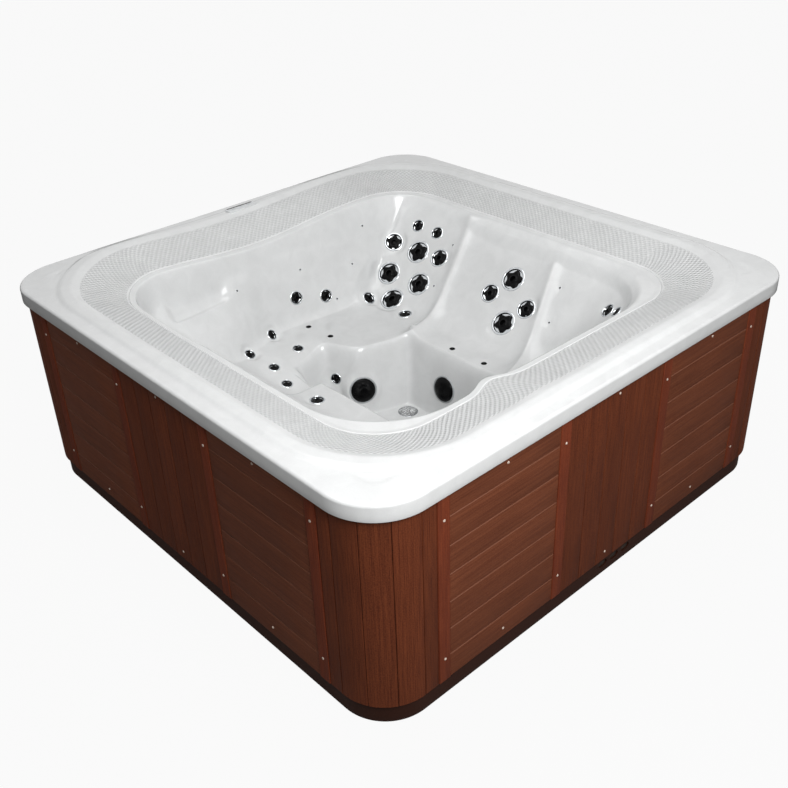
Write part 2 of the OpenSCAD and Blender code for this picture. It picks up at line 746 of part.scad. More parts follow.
module side_frame() {
    translate([-rail_reach, -timber_out, sill_low])
        cube([2 * rail_reach, timber_w, sill_h]);
    translate([-rail_reach, -timber_out, rail_low])
        cube([2 * rail_reach, timber_w, rail_h]);
    for (x = [-stile_out, -stile_in, stile_in, stile_out])
        translate([x - timber_w / 2, -timber_out, sill_high + timber_gap])
            cube([timber_w, timber_w, rail_low - sill_high - 2 * timber_gap]);
}

// corner gussets that tie the rails of two sides
module gusset(low, high) {
    a = timber_in - timber_gap;
    translate([0, 0, low])
        linear_extrude(height = high - low)
            polygon([[rail_reach - 120, -a], [rail_reach, -a], [a, -rail_reach], [a, -rail_reach + 120]]);
}

module frame() {
    color("burlywood") {
        difference() {
            for (n = [1 : 4])
                on_side(n) {
                    side_frame();
                    gusset(sill_low, sill_high);
                    gusset(rail_low, rail_top);
                }
            for (n = [1 : 4])
                on_side(n)
                    side_screw_holes(screw_r + pilot_gap);
        }
        for (x = [-110, floor_light_at[0] - light_r - bearer_w])
            translate([x, -180, sill_low])
                cube([bearer_w, 340, foot_floor - wall_t - sill_low - timber_gap]);
    }
}

// skirt panels
module centre_panel(n) {
    half = stile_in - stile_w / 2 - stile_gap;
    color("sienna")
        on_side(n)
            difference() {
                translate([-half, -skirt_half, pan_h + fit_gap])
                    cube([2 * half, panel_t, panel_top - pan_h - fit_gap]);
                for (i = [-1.5 : 1 : 1.5])
                    translate([i * plank_pitch - groove_w / 2, -skirt_half - 1, 0])
                        cube([groove_w, groove_d + 1, panel_top + 10]);
                side_screw_holes(screw_r + pilot_gap);
            }
}

module board_panels(n) {
    low = stile_in + stile_w / 2 + stile_gap;
    high = stile_out - stile_w / 2 - stile_gap;
    color("sienna")
        on_side(n)
            difference() {
                for (x = [-high, low])
                    translate([x, -skirt_half, pan_h + fit_gap])
                        cube([high - low, panel_t, panel_top - pan_h - fit_gap]);
                for (i = [0 : 5])
                    translate([-high - 1, -skirt_half - 1, board_first + i * board_pitch - groove_w / 2])
                        cube([2 * high + 2, groove_d + 1, groove_w]);
                side_screw_holes(screw_r + pilot_gap);
            }
}

module corner_panel(n) {
    start = stile_out + stile_w / 2 + stile_gap;
    c = skirt_half - skirt_r;
    color("sienna")
        on_side(n)
            difference() {
                translate([0, 0, pan_h + fit_gap])
                    union() {
                        intersection() {
                            translate([c, -c, 0])
                                difference() {
                                    cylinder(h = panel_top - pan_h - fit_gap, r = skirt_r);
                                    translate([0, 0, -5])
                                        cylinder(h = 900, r = skirt_r - panel_t);
                                }
                            translate([c, -c - 300, -10])
                                cube([300, 300, 900]);
                        }
                        translate([start, -skirt_half, 0])
                            cube([c - start, panel_t, panel_top - pan_h - fit_gap]);
                        translate([skirt_half - panel_t, -c, 0])
                            cube([panel_t, c - start, panel_top - pan_h - fit_gap]);
                    }
                translate([c - groove_w / 2, -skirt_half - 1, 0])
                    cube([groove_w, groove_d + 1, panel_top + 10]);
                translate([skirt_half - groove_d, -c - groove_w / 2, 0])
                    cube([groove_d + 1, groove_w, panel_top + 10]);
                for (a = [-60, -30])
                    translate([c, -c, 0])
                        rotate([0, 0, a])
                            translate([skirt_r - groove_d, -groove_w / 2, 0])
                                cube([groove_d + 5, groove_w, panel_top + 10]);
            }
}

module centre_panel_1() centre_panel(1);
module centre_panel_2() centre_panel(2);
module centre_panel_3() centre_panel(3);
module centre_panel_4() centre_panel(4);
module board_panels_1() board_panels(1);
module board_panels_2() board_panels(2);
module board_panels_3() board_panels(3);
module board_panels_4() board_panels(4);
module corner_panel_1() corner_panel(1);
module corner_panel_2() corner_panel(2);
module corner_panel_3() corner_panel(3);
module corner_panel_4() corner_panel(4);

module stiles() {
    color("peru")
        for (n = [1 : 4])
            on_side(n)
                difference() {
                    for (x = [-stile_out, -stile_in, stile_in, stile_out])
                        translate([x - stile_w / 2, -skirt_half - stile_proud, pan_h + fit_gap])
                            cube([stile_w, panel_t + stile_proud, panel_top - pan_h - fit_gap]);
                    side_screw_holes(screw_r + pilot_gap);
                }
}

module screw(x, face, z) {
    translate([x, -face, z])
        rotate([90, 0, 0]) {
            translate([0, 0, -screw_len])
                cylinder(h = screw_len + 1, r = screw_r);
            translate([0, 0, 0.1])
                cylinder(h = screw_head_t, r1 = screw_head_r, r2 = screw_head_r - 1.5);
        }
}

module panel_screws() {
    color("wheat")
        for (n = [1 : 4])
            on_side(n) {
                for (x = [-stile_out, -stile_in, stile_in, stile_out], z = stile_screws)
                    screw(x, skirt_half + stile_proud, z);
                for (x = panel_screw_at, z = panel_screw_levels)
                    screw(x, skirt_half, z);
            }
}

// equipment behind the front panels, set back from the timbers
bay_floor = pan_floor + 0.3;
pump_at = 156.3 - timber_in;
heater_at = 276.3 - timber_in;
box_at = 16.3 - timber_in;

module pump(x) {
    translate([x, pump_at, bay_floor]) {
        translate([-150, 0, 118])
            rotate([0, 90, 0])
                cylinder(h = 250, r = 78);
        translate([99, 0, 118])
            rotate([0, 90, 0])
                cylinder(h = 90, r = 95);
        translate([188, 0, 118])
            rotate([0, 90, 0])
                cylinder(h = 35, r = 32);
        translate([145, 0, 118])
            cylinder(h = 140, r = 32);
        translate([-120, -60, 0])
            cube([150, 120, 60]);
    }
}

module pumps() {
    color("dimgray") {
        pump(-470);
        pump(360);
    }
}

module heater() {
    color("silver") {
        translate([-165, heater_at, bay_floor + 52])
            rotate([0, 90, 0])
                cylinder(h = 330, r = 32);
        for (x = [-175, 145])
            translate([x, heater_at, bay_floor + 52])
                rotate([0, 90, 0])
                    cylinder(h = 30, r = 44);
        for (x = [-100, 70])
            translate([x, heater_at - 25, bay_floor])
                cube([30, 50, 40]);
    }
}

module control_box() {
    color("lightgray") {
        translate([-130, box_at, bay_floor])
            cube([260, 110, 240]);
        translate([-136, box_at - 6, bay_floor + 214])
            cube([272, 122, 30]);
    }
}

module manifold() {
    y = -timber_in + 25.3;
    color("whitesmoke") {
        translate([-700, y, 560])
            rotate([0, 90, 0])
                cylinder(h = 1400, r = 25);
        for (i = [-6 : 6])
            translate([i * 100, y, 560])
                rotate([-90, 0, 0])
                    cylinder(h = 60, r = 9);
        for (x = [-325, 505])
            translate([x, y, 440])
                cylinder(h = 120, r = 25);
    }
}

shell();
base_pan();
frame();
corner_panel_1();
corner_panel_2();
corner_panel_3();
corner_panel_4();
centre_panel_1();
centre_panel_2();
centre_panel_3();
centre_panel_4();
board_panels_1();
board_panels_2();
board_panels_3();
board_panels_4();
stiles();
panel_screws();
jet_bodies_large();
jet_bodies_medium();
jet_bodies_small();
jet_bodies_mini();
star_captain_1();
star_captain_2();
star_captain_3();
star_captain_4();
star_captain_5();
star_captain_6();
star_captain_7();
star_captain_8();
star_captain_9();
star_captain_10();
star_right_1();
star_right_2();
star_right_3();
star_right_4();
star_corner_1();
star_corner_2();
star_lounge_1();
star_lounge_2();
star_calf_1();
star_calf_2();
star_calf_3();
star_calf_4();
star_calf_5();
star_foot();
star_well();
suction_covers();
suction_bodies();
floor_light();
led_lights();
air_injectors();
control_panel();
button_1();
button_2();
button_3();
pumps();
heater();
control_box();
manifold();
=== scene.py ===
# Hot tub: vacuum formed acrylic shell on a skirt of wood composite boards.
# The sizes are those of the solid model, in millimetres, turned to metres when a mesh is made.
import math

import bpy
import numpy as np
from mathutils import Matrix, Vector


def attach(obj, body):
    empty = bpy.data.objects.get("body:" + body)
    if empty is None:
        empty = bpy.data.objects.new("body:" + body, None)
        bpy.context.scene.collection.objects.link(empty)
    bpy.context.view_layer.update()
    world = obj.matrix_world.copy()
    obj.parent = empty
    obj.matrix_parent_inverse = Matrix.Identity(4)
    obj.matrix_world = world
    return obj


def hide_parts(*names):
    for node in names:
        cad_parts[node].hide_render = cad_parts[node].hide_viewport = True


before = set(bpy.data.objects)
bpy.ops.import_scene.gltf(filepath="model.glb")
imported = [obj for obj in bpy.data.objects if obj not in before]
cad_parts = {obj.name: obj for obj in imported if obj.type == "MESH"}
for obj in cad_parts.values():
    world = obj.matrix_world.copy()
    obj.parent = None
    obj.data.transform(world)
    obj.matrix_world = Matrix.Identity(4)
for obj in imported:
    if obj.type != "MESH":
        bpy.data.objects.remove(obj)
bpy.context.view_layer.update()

# ---------------------------------------------------------------- camera and light

CAMERA_AT, LENS, SENSOR = (-2.283, -2.539, 2.380), 45.69, 36
HEADING, TILT, ROLL = 48.27, -31.29, -2.18     # degrees
FILL_LIGHT = 0.12         # strength of the world where the camera doesn't see it
FLOOR_WHITE = 0.94        # share of plain white in what the camera sees of the floor
FLOOR_REACH = 40


def set_camera():
    """the photograph's viewpoint: place, heading, tilt and roll"""
    heading, tilt, roll = (math.radians(a) for a in (HEADING, TILT, ROLL))
    ahead = Vector((math.cos(tilt) * math.cos(heading), math.cos(tilt) * math.sin(heading),
                    math.sin(tilt)))
    right = ahead.cross(Vector((0, 0, 1))).normalized()
    above = right.cross(ahead)
    turned_right = math.cos(roll) * right + math.sin(roll) * above
    turned_above = -math.sin(roll) * right + math.cos(roll) * above
    camera = bpy.data.objects.new("camera", bpy.data.cameras.new("camera"))
    camera.matrix_world = Matrix.Translation(CAMERA_AT) @ Matrix(
        (turned_right, turned_above, -ahead)).transposed().to_4x4()
    camera.data.sensor_width, camera.data.lens = SENSOR, LENS
    bpy.context.scene.collection.objects.link(camera)
    bpy.context.scene.camera = camera


def add_softbox(name, place, aim, width, height, power):
    """an area lamp at a place, turned to what it is aimed at; sizes in metres, power in watts"""
    lamp = bpy.data.lights.new(name, "AREA")
    lamp.shape = "RECTANGLE"
    lamp.size, lamp.size_y, lamp.energy = width, height, power
    box = bpy.data.objects.new(name, lamp)
    box.location = place
    box.rotation_euler = (Vector(aim) - Vector(place)).to_track_quat("-Z", "Y").to_euler()
    bpy.context.scene.collection.objects.link(box)


def linear(code):
    """an sRGB hex colour as linear red, green, blue and alpha"""
    parts = [int(code[i:i + 2], 16) / 255 for i in (1, 3, 5)]
    return tuple(p / 12.92 if p <= 0.04045 else ((p + 0.055) / 1.055) ** 2.4 for p in parts) + (1,)


def fill(tree, node, put):
    """sets a node's sockets to values, or links them to sockets or to the first output of nodes"""
    for key, value in put.items():
        if isinstance(value, bpy.types.Node):
            value = value.outputs[0]
        if isinstance(value, bpy.types.NodeSocket):
            tree.links.new(value, node.inputs[key])
        else:
            node.inputs[key].default_value = value
    return node


def add(tree, kind, put=None, **settings):
    """adds a node to a tree, with its settings and with what fill puts into its sockets"""
    made = tree.nodes.new(kind)
    for name, value in settings.items():
        setattr(made, name, value)
    return fill(tree, made, put or {})


def maths(tree, operation, *values):
    """adds a node that computes a number from up to three"""
    return add(tree, "ShaderNodeMath", dict(enumerate(values)), operation=operation)


def remap(tree, value, low=0.0, high=1.0, to_low=0.0, to_high=1.0, smooth=False):
    """adds a node that takes a number from one range to another, clamped at the ends"""
    return add(tree, "ShaderNodeMapRange", {"Value": value, "From Min": low, "From Max": high,
                                            "To Min": to_low, "To Max": to_high},
               interpolation_type="SMOOTHSTEP" if smooth else "LINEAR")


def blend(tree, share, a, b):
    """adds a node that blends two colours, and gives the colour it makes"""
    return add(tree, "ShaderNodeMix", {"Factor": share, "A": a, "B": b},
               data_type="RGBA").outputs["Result"]


def start_material(name, colour, roughness, **sockets):
    """a new material with its shader; sockets are the shader's own, with _ for a space"""
    material = bpy.data.materials.new(name)
    material.use_nodes = True
    tree = material.node_tree
    put = {"Base Color": linear(colour), "Roughness": roughness}
    put.update({socket.replace("_", " "): value for socket, value in sockets.items()})
    return material, tree, fill(tree, tree.nodes["Principled BSDF"], put)


def light_scene():
    """a white studio: two area lamps, a dim world behind a white background, and a pale floor"""
    scene = bpy.context.scene
    scene.view_settings.view_transform = "Standard"
    world = bpy.data.worlds.new("studio")
    scene.world = world
    world.use_nodes = True
    tree = world.node_tree
    seen = add(tree, "ShaderNodeLightPath")
    direct = maths(tree, "MAXIMUM", seen.outputs["Is Camera Ray"], seen.outputs["Is Glossy Ray"])
    clear = maths(tree, "MAXIMUM", direct, seen.outputs["Is Transmission Ray"])
    level = remap(tree, clear, to_low=FILL_LIGHT)
    fill(tree, tree.nodes["Background"], {"Color": (1, 1, 1, 1), "Strength": level})
    add_softbox("front", (-1.3, -2.9, 2.9), aim=(0, 0, 0.4), width=1.8, height=1.4, power=114)
    add_softbox("overhead", (-0.2, 0.2, 4.4), aim=(0, 0, 0.5), width=2.8, height=2.8, power=62)

    floor_mesh = bpy.data.meshes.new("floor")
    corners = [(-1, -1), (1, -1), (1, 1), (-1, 1)]
    floor_mesh.from_pydata([(FLOOR_REACH * x, FLOOR_REACH * y, 0) for x, y in corners], [],
                           [(0, 1, 2, 3)])
    floor = bpy.data.objects.new("floor", floor_mesh)
    scene.collection.objects.link(floor)
    # matt studio card: most of what the camera sees of it is plain white, so its shadow stays faint
    material, tree, shader = start_material("studio_card", "#8E8E8D", 0.9)
    seen = add(tree, "ShaderNodeLightPath")
    share = maths(tree, "MULTIPLY", seen.outputs["Is Camera Ray"], FLOOR_WHITE)
    white = add(tree, "ShaderNodeEmission", {"Color": (1, 1, 1, 1), "Strength": 1.0})
    both = add(tree, "ShaderNodeMixShader", {0: share, 1: shader, 2: white})
    fill(tree, tree.nodes["Material Output"], {"Surface": both})
    floor_mesh.materials.append(material)


set_camera()
light_scene()

# ---------------------------------------------------------------- the moulded surface

SEAT_TOP, BACK_TOP, BACK_RISE, SHOULDER, FOOT_FLOOR, WALL_LEVEL = 404, 752, 1.04, 24, 120, 230
LIP_HALF, LIP_R, LIP_LOW, LIP_T, LIP_ROLL, LIP_SHOULDER = 1050.6, 190, 774, 12.6, 10, 820
MOUTH = (763, 735, 215)
MOUTH_TOP, BAND_TOP, BORDER_TOP = 768, 830, 838
COLLAR, BORDER = (956, 365), (996, 390)
COASTER_AT, COASTER_R, COASTER_DEEP = 890, 52.5, 2.5
# lines across the shell: line, place on the mouth, x and y of the seat edge
LINES = np.array([[0, 0, 205, -343], [5, 5.2, 246, -343], [13, 12.65, 246, 179],
                  [16, 16, 130, 217], [19, 19.4, 13.5, 254.7], [21, 21.5, -50.6, 398.2],
                  [24, 24, -75, 396], [32, 32, -150, 387], [36, 36, -223.5, 377],
                  [40, 40, -243.5, 338], [48, 48, -243.5, 250], [64, 64, -243.5, -250],
                  [68, 68, -243.5, -343], [72, 72, -200, -343], [88, 88, 130, -343],
                  [96, 96, 205, -343]])
# ridges between the seats: foot and top, height and width of the crest, and of the solids' ridge
RIDGES = [((300, 579, 640, 690), 30, 30, 48, 32), ((250, 182, 735, 296), 26, 28, 45, 28),
          ((225, -360, 690, -205), 26, 28, 45, 28)]
COLLAR_WIDE = 200    # about, from the mouth to the border
GROOVE_SHARE = 0.1   # the trim groove runs this share of the way up the collar
CREASE_SHARE = 0.8635
WALL_T, BACKING_UNDER = 16, 28   # thickness of the collar, and of the seats with their backing
PLATE_X, PLATE_Y, PLATE_SUNK = (-62, 62), (957, 983), 834   # sunk seat of the control's plate
# waves of the rim, each with its middle and width across, and where they grow along the tub
HUMP_HIGH, HUMPS = 22, [(-600, 260), (480, 330)]
DIP_DEEP, DIP = 14, (-60, 240)
CUSP_IN, CUSP = 40, (-255, 70)
FAR_SIDE, NEAR_SIDE = (250, 740), (450, 650)
# sloping planes of the seats, as slope takes them, and of the footwell, without their level
SEAT_R = 330
CAPTAIN_BACK = (418, 430, 14, 405, 1.05)
LOUNGE_WALLS = [(230, 590, 84, 420, 3), (-115, 622, 107, 425, 2.4)]
LOUNGE_BACKS = [(-300, 568, 100, 484, 1), (0, 668, 90, 600, 1.7)]
LOUNGE_SHOULDER = (0, 662, 90, 590, 1.9)
PILLOW_DEEP = 27
WELL_WALLS = [(214, 60, 0, 5.5), (100, 190, 72, 5), (-200, 0, 180, 4), (0, -300, -90, 4)]
WELL_END_WALLS = [(-60, 362, 97, 5), (-180, 0, 180, 4), (-45, 300, 24, 5), (0, 160, -90, 4)]


def soft_min(a, b, k):
    """the smaller of two levels, blended where they are less than k apart"""
    h = np.clip(0.5 + 0.5 * (b - a) / k, 0, 1)
    return b * (1 - h) + a * h - k * h * (1 - h)


def soft_max(a, b, k):
    """the larger of two levels, blended in the same way"""
    return -soft_min(-a, -b, k)


def ease(v, low, high):
    """0 up to low, 1 from high, and a smooth rise between"""
    t = np.clip((v - low) / (high - low), 0, 1)
    return t * t * (3 - 2 * t)


def bump(v, centre, width):
    """a bell curve of height 1"""
    return np.exp(-((v - centre) / width) ** 2)


def within(v, low, high, width):
    """1 between two values and 0 outside, eased over a width at each"""
    half = width / 2
    return ease(v, low - half, low + half) * ease(-v, -high - half, -high + half)


def beyond(x, y, ax, ay, r):
    """distance outside a rounded outline of half sizes ax and ay, less than 0 inside it"""
    qx, qy = np.abs(x) - ax + r, np.abs(y) - ay + r
    return np.hypot(np.maximum(qx, 0), np.maximum(qy, 0)) + np.minimum(np.maximum(qx, qy), 0) - r


def slope(x, y, px, py, azimuth, level, rise):
    """a sloping plane: a place on it, the way uphill in degrees, its level there and its rise"""
    a = math.radians(azimuth)
    return level + rise * ((x - px) * math.cos(a) + (y - py) * math.sin(a))


def ridge(x, y, px, py, qx, qy, height, width, broad=False):
    """a ridge along a line: a sharp crest, or the broad one of the solids"""
    run = math.hypot(qx - px, qy - py)
    ux, uy = (qx - px) / run, (qy - py) / run
    along = (x - px) * ux + (y - py) * uy
    off = (y - py) * ux - (x - px) * uy
    past = np.maximum(np.maximum(-along, along - run), 0)
    away = off * off + past * past
    if broad:
        return height * np.exp(-away / (width * width))
    return height * np.exp((5 - np.sqrt(away + 25)) / width)


def humps(x, y):
    """two high waves in the far side of the rim"""
    return ease(y, *FAR_SIDE) * HUMP_HIGH * sum(bump(x, *hump) for hump in HUMPS)


def dip(x, y):
    """how far the far side of the mouth sinks between them"""
    return DIP_DEEP * bump(x, *DIP) * ease(y, *FAR_SIDE)


def cusp(x, y):
    """how far the near side of the mouth comes in at its cusp"""
    return CUSP_IN * bump(x, *CUSP) * ease(-y, *NEAR_SIDE)


def past_mouth(x, y):
    """distance outside the edge of the mouth, less than 0 in the basin"""
    return beyond(x, y, *MOUTH) + cusp(x, y)


def rim_level(x, y):
    """level of the collar, the raised border and the band outside it"""
    dm, dc = past_mouth(x, y), beyond(x, y, COLLAR[0], COLLAR[0], COLLAR[1])
    t = np.where(dc >= 0, 1, np.clip(dm / np.maximum(dm - dc, 0.001), 0, 1))
    u = np.clip(beyond(x, y, BORDER[0], BORDER[0], BORDER[1]) / 13, -1, 1)
    step = (BORDER_TOP - BAND_TOP) * (0.5 + 0.5 * np.sin(u * math.pi / 2))
    z = np.where(t < 1, MOUTH_TOP + (BORDER_TOP - MOUTH_TOP) * t ** 1.15, BORDER_TOP - step)
    fade = np.clip(-beyond(x, y, LIP_HALF, LIP_HALF, LIP_R) / 90, 0, 1)
    return z + humps(x, y) * fade - dip(x, y) * (1 - t)


def seats(x, y):
    """the bench round the near side and the right, and the captain's seat"""
    qx, qy = np.abs(x) - MOUTH[0] + SEAT_R, -y - MOUTH[1] + SEAT_R
    past = np.hypot(np.maximum(qx, 0), np.maximum(qy, 0)) + np.minimum(np.maximum(qx, qy), 0)
    d = past - SEAT_R
    back = BACK_TOP + BACK_RISE * d + SHOULDER * ease(d, -60, -32)
    return soft_max(soft_max(SEAT_TOP + 0 * x, back, 80), slope(x, y, *CAPTAIN_BACK), 60)


def lounge(x, y, share):
    """the lounge along the far side, with its pillow recess and the rest for the calves"""
    low = soft_max(*(slope(x, y, *plane) for plane in LOUNGE_WALLS), 30)
    hollow = ease(x, -597, -553) * ease(-x, 272, 340) * within(y - 0.09 * (x + 565), 653, 726, 32)
    ramp = soft_max(*(slope(x, y, *plane) for plane in LOUNGE_BACKS), 60)
    ramp = ramp - share * PILLOW_DEEP * hollow
    upper = ramp + (slope(x, y, *LOUNGE_SHOULDER) - ramp) * ease(x, -200, 20)
    calf = SEAT_TOP - 0.25 * soft_max(500 - y, 0 * y, 80) * ease(-x, 20, 140)
    side = BACK_TOP + BACK_RISE * (-x - MOUTH[0])
    return soft_max(soft_max(calf, side, 80), soft_min(low, upper, 40), 40)


def footwell(x, y):
    """the main well and its end towards the lounge, each between four walls"""
    right, far, left, near = (slope(x, y, *plane, WALL_LEVEL, rise) for *plane, rise in WELL_WALLS)
    main = soft_max(soft_max(right, far, 120), soft_max(left, near, 60), 60)
    far, left, right, near = (slope(x, y, *plane, WALL_LEVEL, rise)
                              for *plane, rise in WELL_END_WALLS)
    end = soft_max(soft_max(soft_max(far, left, 130), right, 170), near, 60)
    return soft_max(FOOT_FLOOR + 0 * x, soft_min(main, end, 140), 60)


def level_at(x, y, share=1, broad=False):
    """level of the top of the shell; share 0 leaves out the ridges and the pillow recess"""
    a = math.radians(106)
    zone = np.maximum(ease((x - 241) * math.cos(a) + (y - 562) * math.sin(a), -25, 25),
                      ease(-x, -20, 60) * ease(-x, -60, 60) * ease(y, 150, 210))
    raised = seats(x, y) * (1 - zone) + lounge(x, y, share) * zone
    for line, height, width, broad_height, broad_width in RIDGES:
        size = (broad_height, broad_width) if broad else (height, width)
        raised = raised + share * ridge(x, y, *line, *size, broad)
    carved = soft_min(raised, footwell(x, y), 80)
    d = past_mouth(x, y)
    steep = 5 - 2.8 * ease(x, 250, 600) * ease(y, 250, 600)
    edge = MOUTH_TOP + humps(x, y) - dip(x, y) + 8 + steep * d
    rim = rim_level(x, y)
    return np.where(d > 30, rim, soft_min(rim, soft_max(carved, edge, 30), 10))


def surface_frame(x, y):
    """a point of the solids' surface and the outward direction there, where a fitting turns"""
    e = 6
    at = lambda px, py: float(level_at(np.array([px], float), np.array([py], float), broad=True)[0])
    gx = (at(x + e, y) - at(x - e, y)) / (2 * e)
    gy = (at(x, y + e) - at(x, y - e)) / (2 * e)
    n = np.array([-gx, -gy, 1])
    return np.array([x, y, at(x, y)]), n / np.linalg.norm(n)


def outline(u, ax, ay, r):
    """points round a rounded outline; u counts 24 to a side with the corner after it"""
    u = np.asarray(u, float)
    q = np.floor(u / 24).astype(int) % 4
    j = u - 24 * np.floor(u / 24)
    a, b = np.where(q % 2 == 0, ax, ay), np.where(q % 2 == 0, ay, ax)
    turn = np.radians(90 * (j - 16) / 8)
    px = np.where(j < 16, a, a - r + r * np.cos(turn))
    py = np.where(j < 16, (b - r) * (2 * j / 16 - 1), b - r + r * np.sin(turn))
    x = np.choose(q, [px, -py, -px, py])
    y = np.choose(q, [py, px, -py, -px])
    return x, y


def mouth_place(k):
    """where a line across the shell meets the mouth, in sides and corners as outline counts"""
    return np.interp(k, LINES[:, 0], LINES[:, 1])


def seat_edge(k):
    """where a line across the shell crosses the front edge of the seats"""
    return np.interp(k, LINES[:, 0], LINES[:, 2]), np.interp(k, LINES[:, 0], LINES[:, 3])


def collar_at(k, t):
    """a place on the collar, on a line and at a share of the way from the mouth to the border"""
    mix = lambda a, b: a + (b - a) * t
    x, y = outline(mouth_place(k), mix(MOUTH[0], COLLAR[0]), mix(MOUTH[1], COLLAR[0]),
                   mix(MOUTH[2], COLLAR[1]))
    return x, y + (1 - t) * cusp(x, y)


# ---------------------------------------------------------------- places of the fittings

LARGE, MEDIUM, SMALL, MINI = range(4)
# flange radius, star radius, barrel radius, depth
JET_SIZES = [(55, 42, 48.5, 62), (44, 33, 38.5, 58), (31, 22, 26.5, 52), (25, 17, 21, 44)]
SIZE_NAMES = ["large", "medium", "small", "mini"]
STAR_POINTS = 5
JETS = {
    "star_captain_1": (654, 547, SMALL), "star_captain_2": (665, 437, SMALL),
    "star_captain_3": (565, 615, MEDIUM), "star_captain_4": (584, 477, LARGE),
    "star_captain_5": (600, 360, MEDIUM), "star_captain_6": (477, 558, LARGE),
    "star_captain_7": (499, 389, LARGE), "star_captain_8": (408, 467, LARGE),
    "star_captain_9": (351, 557, SMALL), "star_captain_10": (372, 345, SMALL),
    "star_right_1": (627, -48, LARGE), "star_right_2": (564, 23, MEDIUM),
    "star_right_3": (560, -179, MEDIUM), "star_right_4": (498, -112, LARGE),
    "star_corner_1": (610, -540, SMALL), "star_corner_2": (585, -597, MINI),
    "star_lounge_1": (14, 643, SMALL), "star_lounge_2": (156, 618, SMALL),
    "star_calf_1": (-162, 599, MINI), "star_calf_2": (-136, 457, MINI),
    "star_calf_3": (-319, 541, MINI), "star_calf_4": (-293, 415, MINI),
    "star_calf_5": (-311, 310, MINI), "star_foot": (-351, 65, SMALL),
    "star_well": (-50, 327, MINI)}
# degrees by which a star stands turned at rest
TURNED_AT_REST = {
    "star_captain_1": 54, "star_captain_2": 46, "star_captain_3": 31, "star_captain_4": 60,
    "star_captain_5": 60, "star_captain_6": 27, "star_captain_7": 56, "star_captain_8": 67,
    "star_right_1": 36, "star_right_2": 71, "star_right_3": 57, "star_right_4": 15,
    "star_captain_9": 40, "star_corner_1": 20, "star_lounge_2": 50, "star_calf_2": 30,
    "star_calf_4": 12, "star_foot": 44}
SUCTIONS = [(7, 221), (217.6, -45)]
FLOOR_LIGHT = [(138, 90)]
LEDS = [(455, 703), (337, 646), (71, 677), (-255, 681), (204, 604), (653, 326), (516, 309),
        (286, 215), (650, -276), (548, -311)]
INJECTORS = [(4, 560), (14, 425), (290, -23), (290, -199)]
# fittings with a moulded flat round them: place, flat radius, hole radius or none
FLATS = ([(x, y, JET_SIZES[s][0] + 4, (JET_SIZES[s][0] + JET_SIZES[s][2]) / 2 + 0.4)
          for x, y, s in JETS.values()]
         + [(x, y, flat, 0) for places, flat in ((SUCTIONS, 63), (FLOOR_LIGHT, 46), (LEDS, 9),
                                                (INJECTORS, 14)) for x, y in places])
FITTING_FRAMES = [(surface_frame(x, y), flat, hole) for x, y, flat, hole in FLATS]


def seat_fittings(points):
    """presses the moulded flats round the fittings into the surface points"""
    for (centre, normal), flat, hole in FITTING_FRAMES:
        offset = points - centre
        height = offset @ normal
        reach = np.linalg.norm(offset - height[:, None] * normal, axis=1)
        spread = flat * 0.3 + 5
        share = (1 - ease(reach, flat, flat + spread)) * (np.abs(height) < 45)
        points = points - (share * (height + 0.3))[:, None] * normal
    return points


# ---------------------------------------------------------------- meshes

def make_piece(name, points, faces, material=None, sharp=None):
    """a mesh piece from points in millimetres, smooth but for edges past the sharp angle"""
    mesh = bpy.data.meshes.new(name)
    mesh.from_pydata((np.asarray(points) / 1000).tolist(), [], faces)
    mesh.validate()
    if material:
        mesh.materials.append(material)
    mesh.shade_smooth()
    if sharp:
        mesh.set_sharp_from_angle(angle=math.radians(sharp))
    piece = bpy.data.objects.new(name, mesh)
    bpy.context.scene.collection.objects.link(piece)
    return piece


def ring_faces(rings, lines, around=False, poles=False):
    """quads of a grid of rings, each of the same number of lines, joined round the lines;
    around joins the last ring to the first, poles close the two ends with fans"""
    ring, line = np.meshgrid(np.arange(rings if around else rings - 1), np.arange(lines),
                             indexing="ij")
    after, beside = (ring + 1) % rings, (line + 1) % lines
    quads = np.stack([ring * lines + line, after * lines + line, after * lines + beside,
                      ring * lines + beside], -1).reshape(-1, 4)
    faces = quads.tolist()
    if poles:
        first, last = rings * lines, (rings - 1) * lines
        faces += [[first, j, (j + 1) % lines] for j in range(lines)]
        faces += [[first + 1, last + (j + 1) % lines, last + j] for j in range(lines)]
    return faces


def lofted(name, rows, material, middle=(0, 0), lines=96):
    """a closed form through rounded outlines, from the middle of its underside to that of its top:
    rows of half length, half width, corner radius and level"""
    k = np.arange(lines) * 96 / lines
    rings = [np.stack([*outline(k, ax, ay, r), np.full(lines, float(z))], -1)
             for ax, ay, r, z in rows]
    points = np.concatenate(rings + [np.array([[0, 0, rows[0][3]], [0, 0, rows[-1][3]]])])
    points[:, :2] += middle
    return make_piece(name, points, ring_faces(len(rings), lines, poles=True), material, sharp=40)


def prism_faces(n, sections, start=0):
    """faces of a prism through sections of n points each, and of its two ends"""
    sides = [[i * n + j, i * n + (j + 1) % n, (i + 1) * n + (j + 1) % n, (i + 1) * n + j]
             for i in range(sections - 1) for j in range(n)]
    ends = [list(range(n))[::-1], [(sections - 1) * n + j for j in range(n)]]
    return [[start + corner for corner in face] for face in sides + ends]


def bake(piece, sharp):
    """turns what a piece's modifiers make into its plain mesh"""
    graph = bpy.context.evaluated_depsgraph_get()
    made = bpy.data.meshes.new_from_object(piece.evaluated_get(graph), depsgraph=graph)
    piece.modifiers.clear()
    piece.data = made
    made.shade_smooth()
    made.set_sharp_from_angle(angle=math.radians(sharp))


